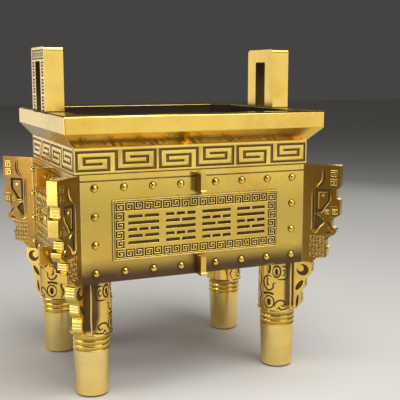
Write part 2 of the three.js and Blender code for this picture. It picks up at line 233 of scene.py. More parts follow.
class Graph:
    """The node graph of one material."""

    def __init__(self, name: str) -> None:
        """Starts an empty material.

        Args:
            name: The material's name.
        """
        self.material = bpy.data.materials.new(name)
        self.material.use_nodes = True
        self.tree = self.material.node_tree
        self.tree.nodes.clear()

    def node(self, kind: str, settings: dict | None = None, inputs: dict | None = None) -> bpy.types.Node:
        """Adds a node.

        Args:
            kind: The node's type.
            settings: Attributes that are set first.
            inputs: Values or links of its sockets, by name or number.

        Returns:
            The new node.
        """
        node = self.tree.nodes.new(kind)
        for key, value in (settings or {}).items():
            setattr(node, key, value)
        for key, value in (inputs or {}).items():
            socket = node.inputs[key]
            if isinstance(value, Expr):
                self.tree.links.new(value.socket, socket)
            elif isinstance(value, bpy.types.NodeSocket):
                self.tree.links.new(value, socket)
            elif isinstance(value, tuple) and len(value) == 3 and socket.type == "RGBA":
                socket.default_value = (*value, 1.0)
            else:
                socket.default_value = value
        return node

    def place(self, scale: Grain) -> bpy.types.NodeSocket:
        """Object coordinates, stretched by a scale along each axis.

        Args:
            scale: The stretch along each axis.

        Returns:
            The vector socket.
        """
        source = self.node("ShaderNodeTexCoord")
        mapped = self.node(
            "ShaderNodeMapping", inputs={"Vector": source.outputs["Object"], "Scale": scale}
        )
        return mapped.outputs["Vector"]

    def noise(self, scale: Grain, detail: float = 3.0, rough: float = 0.5) -> Expr:
        """Noise with so many features a metre along each axis.

        Args:
            scale: Features a metre.
            detail: How many layers.
            rough: How strong the fine ones are.

        Returns:
            The noise, from 0 to 1.
        """
        node = self.node(
            "ShaderNodeTexNoise",
            inputs={"Vector": self.place(scale), "Scale": 1.0, "Detail": detail, "Roughness": rough},
        )
        return Expr(self, node.outputs["Fac"])

    def mix(self, factor: Expr | float, first: object, second: object) -> bpy.types.NodeSocket:
        """A blend of two colours, from first at 0 to second at 1.

        Args:
            factor: The share of second.
            first: A colour or its socket.
            second: Another.

        Returns:
            The blend's socket.
        """
        node = self.node("ShaderNodeMix", {"data_type": "RGBA"}, {0: factor, 6: first, 7: second})
        return node.outputs[2]

    def occlusion(self, distance: float) -> Expr:
        """How far a point lies in a hollow: 0 on open metal, near 1 deep in a groove."""
        node = self.node("ShaderNodeAmbientOcclusion", {"samples": 12}, {"Distance": distance})
        return 1.0 - Expr(self, node.outputs["AO"])

    def convex(self, distance: float) -> Expr:
        """How near a point lies to an outward edge, where the colour is painted paler: edge wear and a
        painted highlight.

        Args:
            distance: How far round a point it looks.

        Returns:
            The share, from 0 to 1.
        """
        settings = {"samples": 8, "inside": True}
        node = self.node("ShaderNodeAmbientOcclusion", settings, {"Distance": distance})
        return 1.0 - Expr(self, node.outputs["AO"])

    def axis(self, name: str) -> Expr:
        """Distance from the vessel's middle or its floor along an axis, in metres.

        Args:
            name: X, Y or Z.

        Returns:
            The distance.
        """
        source = self.node("ShaderNodeTexCoord")
        parted = self.node("ShaderNodeSeparateXYZ", inputs={0: source.outputs["Object"]})
        return Expr(self, parted.outputs[name])

    def bump(self, height: Expr, distance: float, after: bpy.types.Node | None = None) -> bpy.types.Node:
        """A bump of a real height in metres, laid over an earlier one.

        Args:
            height: The height from 0 to 1.
            distance: What 1 stands for.
            after: The earlier bump.

        Returns:
            The bump node.
        """
        inputs: dict = {"Height": height, "Distance": distance, "Strength": 1.0}
        if after is not None:
            inputs["Normal"] = after.outputs["Normal"]
        return self.node("ShaderNodeBump", inputs=inputs)

    def finish(self, colour: object, rough: Expr, metal: Expr, normal: bpy.types.Node) -> bpy.types.Material:
        """Closes the graph with the metal's shader.

        Args:
            colour: The colour socket.
            rough: Roughness over the surface.
            metal: Metallic over the surface.
            normal: The last bump node.

        Returns:
            The finished material.
        """
        shader = self.node(
            "ShaderNodeBsdfPrincipled",
            inputs={
                "Base Color": colour,
                "Roughness": rough,
                "Metallic": metal,
                "Normal": normal.outputs["Normal"],
            },
        )
        out = self.node("ShaderNodeOutputMaterial")
        self.tree.links.new(shader.outputs[0], out.inputs["Surface"])
        return self.material


@dataclass(frozen=True)
class Brass:
    """A cast brass finish: how bright it is polished, how much brown patina stays in its hollows and, where
    its reach is wide, how much painted shade falls round raised parts.
    """

    name: str
    metal: Colour = (0.90, 0.64, 0.14)
    warm: Colour = (0.84, 0.54, 0.10)
    # Paler colour of outward edges: edge wear and a painted highlight.
    edge: Colour = (1.0, 0.84, 0.42)
    patina: Colour = (0.11, 0.052, 0.013)
    roughness: float = 0.17
    reach: float = 2.6 * MM
    open_to: float = 0.30
    closed_at: float = 0.80
    tarnish: float = 0.0
    edge_wear_and_highlight: float = 0.45
    smoky: float = 0.14
    speckle: float = 0.12
    streak: float = 0.05
    wave: float = 0.28 * MM
    grain: float = 0.007 * MM
    edge_highlight_reach: float = 0.6 * MM
    brown_rough: float = 0.45
    brown_dull: float = 0.8
    streak_grain: Grain = (900.0, 900.0, 24.0)
    cloud_grain: Grain = (26.0, 26.0, 14.0)
    speck_grain: Grain = (420.0, 420.0, 420.0)
    smoke_grain: Grain = (17.0, 17.0, 24.0)
    wave_grain: Grain = (34.0, 34.0, 9.0)
    fine_grain: Grain = (260.0, 260.0, 40.0)
    fine_share: float = 0.6

    def painted_reflection(self, graph: Graph) -> Expr | float:
        """Painted dark reflection in places of its own; none on plain brass."""
        return 0.0

    def material(self) -> bpy.types.Material:
        """Builds the finish.

        Returns:
            The material, with streaks of hand polishing, a wavy cast surface, patina in hollows, painted
            shade round raised parts and paler edges of wear and painted highlight.
        """
        graph = Graph(self.name)
        streaks = graph.noise(self.streak_grain, 2.0)
        clouds = graph.noise(self.cloud_grain, 3.0)
        specks = graph.noise(self.speck_grain, 4.0, 0.6)
        # Occlusion darkening: patina in grooves, and painted shade round bosses, fins and other raised parts
        # where the reach is wide.
        hollow = graph.occlusion(self.reach) + (specks - 0.5) * self.speckle
        smoke = graph.noise(self.smoke_grain, 4.0, 0.6).between(0.46, 0.74)
        brown = hollow.between(self.open_to, self.closed_at) + self.tarnish + smoke * self.smoky
        # Adds the painted dark reflection that some finishes have.
        brown = (brown + self.painted_reflection(graph)).clamped()
        tint = graph.mix(clouds.between(0.38, 0.72), self.metal, self.warm)
        # Paler outward edges: partly wear, partly a painted highlight line.
        worn_edge_highlight = graph.convex(self.edge_highlight_reach).between(0.12, 0.6) * self.edge_wear_and_highlight * (1.0 - brown)
        colour = graph.mix(brown, graph.mix(worn_edge_highlight, tint, self.edge), self.patina)
        rough = self.roughness + (streaks - 0.5) * self.streak + brown * self.brown_rough
        metal = 1.0 - brown * self.brown_dull
        waves = graph.noise(self.wave_grain, 2.0, 0.45)
        fine = graph.noise(self.fine_grain, 2.0)
        base = graph.bump(waves, self.wave)
        middle = graph.bump(fine, self.fine_share * self.grain, base)
        top = graph.bump(specks, self.grain, middle)
        return graph.finish(colour, rough, metal, top)


@dataclass(frozen=True)
class BodyBrass(Brass):
    """Brass of the body, with a painted dark reflection in patches along its foot."""

    # Strength of the painted dark reflection along the foot.
    dark_reflection: float = 1.0
    foot: float = 103.0 * MM
    head: float = 121.0 * MM
    patch_grain: Grain = (19.0, 19.0, 60.0)

    def painted_reflection(self, graph: Graph) -> Expr | float:
        """Painted dark reflection above the foot, in patches.

        Args:
            graph: The finish's nodes.

        Returns:
            The share of painted reflection.
        """
        reflection_patches = graph.noise(self.patch_grain, 3.0, 0.55).between(0.26, 0.46)
        return (1.0 - graph.axis("Z").between(self.foot, self.head)) * reflection_patches * self.dark_reflection


@dataclass(frozen=True)
class LegBrass(Brass):
    """Brass of the legs, with a painted dark reflection beside the lobed plates over the rings.

    The painted reflection starts and is full at two shares of the leg's radius, out towards its plate.
    """

    sizes: Sizes | None = None
    rings_top: float = 56.0 * MM
    fade: float = 4.0 * MM
    depth: float = 0.95
    starts: float = 0.56
    full: float = 0.74
    wander: float = 0.35
    wander_grain: Grain = (60.0, 60.0, 22.0)

    def painted_reflection(self, graph: Graph) -> Expr | float:
        """Painted dark reflection on both sides of the plate, with a wavy edge.

        Args:
            graph: The finish's nodes.

        Returns:
            The share of painted reflection.
        """
        across, deep = self.sizes.leg_at
        out = (graph.axis("X").size() - across) + (graph.axis("Y").size() - deep)
        wavy = (graph.noise(self.wander_grain, 2.0) - 0.5) * self.wander
        near = out * (math.sqrt(0.5) / self.sizes.leg_radius) + wavy
        above = graph.axis("Z").between(self.rings_top, self.rings_top + self.fade)
        return near.between(self.starts, self.full) * above * self.depth


def rounded(points: Sequence[Point], radius: float, steps: int = 4) -> list[Point]:
    """A closed outline with its corners rounded, outer and inner ones alike.

    Args:
        points: The outline's corners.
        radius: The rounding, which gives way on short sides.
        steps: How many steps a corner takes.

    Returns:
        The rounded outline.
    """
    made = []
    count = len(points)
    for i, here in enumerate(points):
        corner = Vector(here)
        before, after = Vector(points[i - 1]) - corner, Vector(points[(i + 1) % count]) - corner
        reach = min(radius, before.length * CORNER_SHARE, after.length * CORNER_SHARE)
        start, end = corner + before.normalized() * reach, corner + after.normalized() * reach
        for step in range(steps + 1):
            t = step / steps
            made.append(tuple(start * (1 - t) ** 2 + corner * 2 * t * (1 - t) + end * t * t))
    return made


def curved(points: Sequence[Sequence[float]], steps: int = 6) -> list[Vector]:
    """A smooth line through points.

    Args:
        points: The points, in two or three dimensions.
        steps: How many steps lie between two of them.

    Returns:
        The line's points.
    """
    given = [Vector(p) for p in points]
    ends = [given[0] * 2 - given[1], *given, given[-1] * 2 - given[-2]]
    made = []
    for a, b, c, d in zip(ends, ends[1:], ends[2:], ends[3:]):
        for step in range(steps):
            t = step / steps
            bent = (2 * a - 5 * b + 4 * c - d) * t * t
            made.append(0.5 * (2 * b + (c - a) * t + bent + (3 * b - a - 3 * c + d) * t ** 3))
    return [*made, given[-1]]


def ribbon(points: Sequence[Sequence[float]], width: float, taper: float = 0.35) -> list[Point]:
    """The outline of a line with a width, drawn thin at its ends.

    Args:
        points: The line's points.
        width: Its full width.
        taper: The share of the width that is left at its ends.

    Returns:
        A closed outline.
    """
    line = [Vector(p) for p in points]
    last = len(line) - 1
    left, right = [], []
    for i, here in enumerate(line):
        along = (line[min(i + 1, last)] - line[max(i - 1, 0)]).normalized()
        share = min(1.0, 4.0 * min(i, last - i) / last)
        across = Vector((-along.y, along.x)) * width / 2 * (taper + (1 - taper) * share)
        left.append(tuple(here + across))
        right.append(tuple(here - across))
    return [*left, *reversed(right)]


def square_cut(points: Sequence[Point], upright: float, level: float) -> list[Point]:
    """The outline of a square-cut groove whose runs are upright or level.

    Args:
        points: The groove's corners along its middle.
        upright: The width of its upright runs.
        level: The width of its level runs.

    Returns:
        A closed outline.
    """
    line = [Vector(p) for p in points]
    runs = [(b - a).normalized() for a, b in zip(line, line[1:])]

    def across(run: Vector) -> Vector:
        """Half a run's width, to its left."""
        return Vector((-run.y * upright / 2, run.x * level / 2))

    def cap(run: Vector) -> Vector:
        """How far a run goes past its last point."""
        return Vector((run.x * upright / 2, run.y * level / 2))

    left, right = [], []
    for i, here in enumerate(line):
        before, after = runs[max(i - 1, 0)], runs[min(i, len(runs) - 1)]
        shift = across(before) if (before - after).length < 0.01 else across(before) + across(after)
        end = cap(after) * -1 if i == 0 else cap(before) if i == len(line) - 1 else Vector((0, 0))
        left.append(tuple(here + shift + end))
        right.append(tuple(here - shift + end))
    return [*left, *reversed(right)]


def rectangle(x0: float, x1: float, z0: float, z1: float) -> list[Point]:
    """The outline of a rectangle."""
    return [(x0, z0), (x1, z0), (x1, z1), (x0, z1)]


class Bench:
    """Modelling by hand: primitives, edit-mode operators and modifiers that are applied."""

    @staticmethod
    def clear() -> None:
        """Leaves edit mode and deselects everything."""
        if bpy.context.object is not None and bpy.context.object.mode != "OBJECT":
            bpy.ops.object.mode_set(mode="OBJECT")
        bpy.ops.object.select_all(action="DESELECT")

    @staticmethod
    def only(piece: bpy.types.Object) -> None:
        """Selects one piece alone and makes it active.

        Args:
            piece: The piece.
        """
        Bench.clear()
        piece.select_set(True)
        bpy.context.view_layer.objects.active = piece

    @staticmethod
    def settle(piece: bpy.types.Object) -> bpy.types.Object:
        """Moves a piece's place into its mesh.

        Args:
            piece: The piece.

        Returns:
            The piece.
        """
        Bench.only(piece)
        bpy.ops.object.transform_apply(location=True, rotation=True, scale=True)
        return piece

    @staticmethod
    def modify(piece: bpy.types.Object, kind: str, **settings: object) -> bpy.types.Object:
        """Adds a modifier and applies it.

        Args:
            piece: The piece to change.
            kind: The modifier's type.
            **settings: Its settings.

        Returns:
            The piece.
        """
        modifier = piece.modifiers.new(kind.title(), kind)
        for key, value in settings.items():
            setattr(modifier, key, value)
        Bench.only(piece)
        bpy.ops.object.modifier_apply(modifier=modifier.name)
        return piece

    @staticmethod
    def eased(piece: bpy.types.Object, width: float, segments: int) -> bpy.types.Object:
        """Rounds a piece's sharp edges by a bevel.

        Args:
            piece: The piece.
            width: The whole rounding.
            segments: How many steps it has.

        Returns:
            The piece.
        """
        return Bench.modify(
            piece,
            "BEVEL",
            width=width,
            segments=segments,
            limit_method="ANGLE",
            angle_limit=math.radians(50.0),
            use_clamp_overlap=True,
        )

    @staticmethod
    def smooth(piece: bpy.types.Object, angle: float = 40.0) -> bpy.types.Object:
        """Shades a piece smooth but for its sharp edges.

        Args:
            piece: The piece.
            angle: From how many degrees an edge is sharp.

        Returns:
            The piece.
        """
        Bench.only(piece)
        bpy.ops.object.shade_smooth_by_angle(angle=math.radians(angle))
        return piece

    @staticmethod
    def block(low: Sequence[float], high: Sequence[float]) -> bpy.types.Object:
        """A block between two corners.

        Args:
            low: The lower corner.
            high: The upper corner.

        Returns:
            The block.
        """
        Bench.clear()
        middle = [(a + b) / 2 for a, b in zip(low, high)]
        size = [b - a for a, b in zip(low, high)]
        bpy.ops.mesh.primitive_cube_add(size=1.0, location=middle, scale=size)
        return Bench.settle(bpy.context.object)

    @staticmethod
    def through(levels: Sequence[tuple[float, float, float]]) -> None:
        """Extrudes the selected face, centred on Z, through levels of height and half sizes.

        Args:
            levels: Height, half size along X and half size along Y; the first is the face itself.
        """
        for (z0, x0, y0), (z1, x1, y1) in zip(levels, levels[1:]):
            bpy.ops.mesh.extrude_region_move(TRANSFORM_OT_translate={"value": (0.0, 0.0, z1 - z0)})
            bpy.ops.transform.resize(value=(x1 / x0, y1 / y0, 1.0), center_override=(0.0, 0.0, z1))

    @staticmethod
    def pick(piece: bpy.types.Object, wanted: Callable[[bpy.types.MeshPolygon], bool]) -> None:
        """Selects a piece's faces by a test and stays in edit mode.

        Args:
            piece: The piece.
            wanted: Whether a face is selected.
        """
        Bench.only(piece)
        bpy.ops.object.mode_set(mode="EDIT")
        bpy.ops.mesh.select_mode(type="FACE")
        bpy.ops.mesh.select_all(action="DESELECT")
        bpy.ops.object.mode_set(mode="OBJECT")
        for face in piece.data.polygons:
            face.select = wanted(face)
        bpy.ops.object.mode_set(mode="EDIT")

    @staticmethod
    def eased_edges(
        piece: bpy.types.Object,
        width: float,
        segments: int,
        share: Callable[[Vector, Vector], float],
    ) -> bpy.types.Object:
        """Rounds edges, each by its own share of a width.

        Args:
            piece: The piece.
            width: The whole rounding.
            segments: How many steps it has.
            share: An edge's share of it, from its two ends.

        Returns:
            The piece.
        """
        weight = piece.data.attributes.new("bevel_weight_edge", "FLOAT", "EDGE")
        points = piece.data.vertices
        for edge, value in zip(piece.data.edges, weight.data):
            a, b = (points[i].co for i in edge.vertices)
            value.value = share(a, b)
        return Bench.modify(piece, "BEVEL", width=width, segments=segments, limit_method="WEIGHT")

    @staticmethod
    def dome(radius: float, height: float, segments: int) -> bpy.types.Object:
        """A domed boss standing out towards -Y, its skirt sunk behind the XZ plane.

        Args:
            radius: Its radius.
            height: How far it stands out, a quarter of it upright.
            segments: How many sides it has.

        Returns:
            The boss as a closed mesh.
        """
        skirt, crown, steps = 0.25 * height, 0.75 * height, 7
        levels = [(-ROOT, radius), (skirt, radius)]
        for i in range(1, steps):
            angle = math.pi / 2 * i / steps
            levels.append((skirt + crown * math.sin(angle), radius * math.cos(angle)))
        Bench.clear()
        bpy.ops.mesh.primitive_circle_add(
            vertices=segments, radius=radius, fill_type="NGON", location=(0.0, 0.0, levels[0][0])
        )
        piece = Bench.settle(bpy.context.object)
        Bench.raised(piece, [(z, r, r) for z, r in levels])
        piece.rotation_euler.x = math.pi / 2
        return Bench.smooth(Bench.settle(piece), 50.0)

    @staticmethod
    def raised(piece: bpy.types.Object, levels: Sequence[tuple[float, float, float]]) -> bpy.types.Object:
        """Extrudes the one face of a flat piece through levels above it.

        Args:
            piece: A flat piece whose face is the first level.
            levels: Height, half size along X and half size along Y; the first is the face itself.

        Returns:
            The piece, closed.
        """
        Bench.only(piece)
        bpy.ops.object.mode_set(mode="EDIT")
        bpy.ops.mesh.select_all(action="SELECT")
        Bench.through(levels)
        bpy.ops.mesh.select_all(action="SELECT")
        bpy.ops.mesh.normals_make_consistent(inside=False)
        bpy.ops.object.mode_set(mode="OBJECT")
        return piece

    @staticmethod
    def plate(
        outlines: Sequence[Sequence[Point]], thickness: float, ease: float = 0.0, steps: int = 1
    ) -> bpy.types.Object:
        """A plate lying in X and Z, centred on the XZ plane, from closed outlines.

        Args:
            outlines: The outer outline, then any holes.
            thickness: Its thickness along Y.
            ease: The rounding of its edges, inside the outline.
            steps: How many steps that rounding has.

        Returns:
            The plate as a closed mesh.
        """
        curve = bpy.data.curves.new("outline", "CURVE")
        curve.dimensions = "2D"
        curve.fill_mode = "BOTH"
        curve.extrude = thickness / 2 - ease
        for outline in outlines:
            spline = curve.splines.new("POLY")
            spline.points.add(len(outline) - 1)
            for point, (x, z) in zip(spline.points, outline):
                point.co = (x, z, 0.0, 1.0)
            spline.use_cyclic_u = True
        piece = bpy.data.objects.new("plate", curve)
        bpy.context.collection.objects.link(piece)
        Bench.only(piece)
        bpy.ops.object.convert(target="MESH")
        piece = bpy.context.object
        piece.rotation_euler.x = math.pi / 2
        Bench.settle(piece)
        Bench.welded(piece)
        if ease > 0.0:
            Bench.pick(piece, lambda face: abs(face.normal.y) > 0.9)
            for step in range(steps):
                a, b = (math.pi / 2 * (step + i) / steps for i in (0, 1))
                inward, outward = math.cos(a) - math.cos(b), math.sin(b) - math.sin(a)
                bpy.ops.mesh.inset(thickness=ease * inward, depth=ease * outward)
            bpy.ops.object.mode_set(mode="OBJECT")
        return piece

    @staticmethod
    def welded(piece: bpy.types.Object, distance: float = 0.004 * MM) -> bpy.types.Object:
        """Merges a piece's doubled points and turns its faces outwards.

        Args:
            piece: The piece.
            distance: How near doubled points are.

        Returns:
            The piece.
        """
        Bench.only(piece)
        bpy.ops.object.mode_set(mode="EDIT")
        bpy.ops.mesh.select_all(action="SELECT")
        bpy.ops.mesh.remove_doubles(threshold=distance)
        bpy.ops.mesh.normals_make_consistent(inside=False)
        bpy.ops.object.mode_set(mode="OBJECT")
        return piece

    @staticmethod
    def wire(
        points: Sequence[Sequence[float]], radius: float, closed: bool = False, taper: bool = True
    ) -> bpy.types.Object:
        """A raised cast line: a round bar along points, thinner at its ends.

        Args:
            points: Points in space.
            radius: The bar's radius.
            closed: Whether it joins its own start.
            taper: Whether its ends are drawn thin.

        Returns:
            The bar as a closed mesh.
        """
        curve = bpy.data.curves.new("line", "CURVE")
        curve.dimensions = "3D"
        curve.bevel_depth = radius
        curve.bevel_resolution = 2
        curve.use_fill_caps = True
        spline = curve.splines.new("POLY")
        spline.points.add(len(points) - 1)
        last = len(points) - 1
        for i, (point, place) in enumerate(zip(spline.points, points)):
            point.co = (*place, 1.0)
            end = min(i, last - i) / max(1, last)
            point.radius = 1.0 if closed or not taper else 0.45 + 0.55 * min(1.0, end * 5.0)
        spline.use_cyclic_u = closed
        piece = bpy.data.objects.new("line", curve)
        bpy.context.collection.objects.link(piece)
        Bench.only(piece)
        bpy.ops.object.convert(target="MESH")
        return Bench.welded(bpy.context.object)

    @staticmethod
    def cutters(
        shapes: Sequence[Sequence[Sequence[Point]]],
        half: float,
        depth: float,
        signs: Sequence[float] = (-1.0, 1.0),
    ) -> bpy.types.Object:
        """Plates that cut shapes into the faces of a plate on the XZ plane.

        Args:
            shapes: What is cut, each as an outline and any islands in it.
            half: Half the thickness of the plate that is cut.
            depth: How deep the cuts are.
            signs: The sides along Y that they are cut in.

        Returns:
            The cutting plates, joined.
        """
        made = []
        for shape in shapes:
            for sign in signs:
                cutter = Bench.plate(shape, CUTTER)
                cutter.location.y = sign * (half + CUTTER / 2 - depth)
                made.append(Bench.settle(cutter))
        return Bench.joined(made)

    @staticmethod
    def carve(
        piece: bpy.types.Object, cutter: bpy.types.Object, finishes: Sequence[bpy.types.Material]
    ) -> bpy.types.Object:
        """Cuts one piece out of another.

        Args:
            piece: The piece to cut.
            cutter: What is cut out of it, which is deleted.
            finishes: The piece's finish, then that of the cut.

        Returns:
            The piece.
        """
        Bench.painted(piece, finishes)
        Bench.painted(cutter, finishes, lambda face: 1)
        Bench.modify(
            piece, "BOOLEAN", operation="DIFFERENCE", object=cutter, solver="EXACT", use_self=True
        )
        bpy.data.objects.remove(cutter)
        return piece

    @staticmethod
    def copy(piece: bpy.types.Object) -> bpy.types.Object:
        """A copy with its own mesh.

        Args:
            piece: The piece.

        Returns:
            Its copy.
        """
        made = piece.copy()
        made.data = piece.data.copy()
        bpy.context.collection.objects.link(made)
        return made

    @staticmethod
    def turned(
        piece: bpy.types.Object, angle: float, at: Sequence[float] = (0.0, 0.0, 0.0)
    ) -> bpy.types.Object:
        """Turns a piece about Z, then moves it, in its mesh.

        Args:
            piece: The piece, made about the origin.
            angle: Its turn in radians.
            at: Where the origin goes.

        Returns:
            The piece.
        """
        piece.rotation_euler.z = angle
        piece.location = at
        return Bench.settle(piece)

    @staticmethod
    def joined(pieces: Sequence[bpy.types.Object]) -> bpy.types.Object:
        """Joins pieces into the first one and returns it.

        Args:
            pieces: The pieces.

        Returns:
            The joined piece.
        """
        Bench.clear()
        for piece in pieces:
            piece.select_set(True)
        bpy.context.view_layer.objects.active = pieces[0]
        if len(pieces) > 1:
            bpy.ops.object.join()
        return bpy.context.object

    @staticmethod
    def painted(
        piece: bpy.types.Object,
        finishes: Sequence[bpy.types.Material],
        chosen: Callable[[bpy.types.MeshPolygon], int] | None = None,
    ) -> bpy.types.Object:
        """Gives a piece its finishes.

        Args:
            piece: The piece.
            finishes: Its materials.
            chosen: Which of them a face takes; all take the first without it.

        Returns:
            The piece.
        """
        piece.data.materials.clear()
        for finish in finishes:
            piece.data.materials.append(finish)
        for face in piece.data.polygons:
            face.material_index = chosen(face) if chosen else 0
        return piece

    @staticmethod
    def sunk_walls(
        plate: bpy.types.Object, area: Rect, finishes: Sequence[bpy.types.Material]
    ) -> bpy.types.Object:
        """Gives a pierced plate its first finish, and the second one to the walls of its holes.

        Args:
            plate: The plate, made in X and Z.
            area: Low and high X and Z of its outline.
            finishes: Its finish, then that of the walls.

        Returns:
            The plate.
        """
        low_x, high_x, low_z, high_z = area
        margin = 0.4 * MM

        def chosen(face: bpy.types.MeshPolygon) -> int:
            """1 on the walls inside the plate, 0 elsewhere."""
            x, _, z = face.center
            within = min(x - low_x, high_x - x, z - low_z, high_z - z) > margin
            return 1 if within and abs(face.normal.y) < 0.4 else 0

        return Bench.painted(plate, finishes, chosen)

    @staticmethod
    def dressed(
        piece: bpy.types.Object,
        finish: bpy.types.Material,
        chosen: Callable[[bpy.types.MeshPolygon], bool],
    ) -> bpy.types.Object:
        """Gives one more finish to the faces that pass a test.

        Args:
            piece: The piece.
            finish: The material that is added.
            chosen: Whether a face takes it.

        Returns:
            The piece.
        """
        piece.data.materials.append(finish)
        for face in piece.data.polygons:
            if chosen(face):
                face.material_index = len(piece.data.materials) - 1
        return piece


@dataclass(frozen=True)
class Fret:
    """A running fret: pairs of square spirals, each pair sharing its middle groove."""

    pitch_across: float
    pitch_up: float
    upright: float
    level: float
    levels: int = 4

    def half(self, outer: float, inner: float) -> list[Point]:
        """The left half of a pair, from its middle inwards.

        Args:
            outer: How far out its outer upright groove runs.
            inner: How far out its inner upright groove runs.

        Returns:
            The groove's points.
        """
        rows = [((self.levels - 1) / 2 - i) * self.pitch_up for i in range(self.levels)]
        return [
            (0.0, rows[0]),
            (-outer, rows[0]),
            (-outer, rows[3]),
            (-inner, rows[3]),
            (-inner, rows[1]),
            (-outer + self.pitch_across, rows[1]),
            (-outer + self.pitch_across, rows[2]),
            (-inner - self.pitch_across, rows[2]),
        ]

    def pair(self, centre: Point, width: float, divider: float, stood: bool = False) -> list[Point]:
        """The groove of a pair of spirals.

        Args:
            centre: Its middle.
            width: Its whole width, up to the middle of the dividers.
            divider: The width of the raised bar between pairs.
            stood: Whether the pair stands on end.

        Returns:
            Its outline.
        """
        outer = (width - divider - self.upright) / 2
        left = self.half(outer, self.pitch_across)
        path = [*reversed(left), *[(-x, -z) for x, z in left]]
        outline = square_cut(path, self.upright, self.level)
        if stood:
            outline = [(-z, x) for x, z in outline]
        return [(x + centre[0], z + centre[1]) for x, z in outline]

    def corner(self, centre: Point, width: float, hand: float) -> list[Point]:
        """The single spiral that fills a corner.

        Args:
            centre: Its middle.
            width: The width of its square.
            hand: 1 where it opens to the right, -1 to the left.

        Returns:
            Its outline.
        """
        reach = width / 2 - self.upright
        rows = [((self.levels - 1) / 2 - i) * self.pitch_up for i in range(self.levels)]
        path = [
            (reach, rows[0]),
            (-reach, rows[0]),
            (-reach, rows[3]),
            (reach, rows[3]),
            (reach, rows[1]),
            (-reach + self.pitch_across, rows[1]),
            (-reach + self.pitch_across, rows[2]),
            (0.0, rows[2]),
        ]
        outline = square_cut([(hand * x, z) for x, z in path], self.upright, self.level)
        return [(x + centre[0], z + centre[1]) for x, z in outline]


@dataclass
class Casting:
    """What the parts of the casting share: sizes, finishes and how a piece is set in its place."""

    sizes: Sizes
    bright: bpy.types.Material
    body: bpy.types.Material
    carved: bpy.types.Material
    shaded: bpy.types.Material
    neck: bpy.types.Material
    ground: bpy.types.Material
    inside: bpy.types.Material
    feet: bpy.types.Material
    legs: bpy.types.Material

    def keep(self, piece: bpy.types.Object, name: str, node: str = "vessel") -> None:
        """Names a finished piece and fixes it to the vessel.

        Args:
            piece: The piece.
            name: Its name.
            node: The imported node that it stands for.
        """
        Bench.smooth(piece, 38.0)
        Bench.modify(piece, "WEIGHTED_NORMAL", keep_sharp=True)
        piece.name = name
        piece.data.name = name
        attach(piece, BODY_OF_ALL)
        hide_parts(node)
        log.info("%s: %d faces", name, len(piece.data.polygons))

    def on_face(self, piece: bpy.types.Object, side: Side, reach: float) -> bpy.types.Object:
        """Stands a piece made in X and Z on a face, at a distance from the middle.

        Args:
            piece: The piece.
            side: The face.
            reach: How far from the middle its XZ plane goes.

        Returns:
            The piece.
        """
        piece.location.y = -reach
        Bench.settle(piece)
        return Bench.turned(piece, side.value)

    def at_corners(self, model: bpy.types.Object, name: str, across: float, deep: float) -> None:
        """Sets a copy of a model at each of the four corners and deletes the model.

        Args:
            model: The piece, made in X and Z with X outwards.
            name: The copies' name, to which each corner's own is added.
            across: How far from the middle they stand along X.
            deep: How far from the middle they stand along Y.
        """
        for x in (-1.0, 1.0):
            for y in (-1.0, 1.0):
                made = Bench.turned(Bench.copy(model), math.atan2(y, x), (x * across, y * deep, 0.0))
                end, side = "left" if x < 0 else "right", "front" if y < 0 else "back"
                self.keep(made, f"{name}_{end}_{side}")
        bpy.data.objects.remove(model)


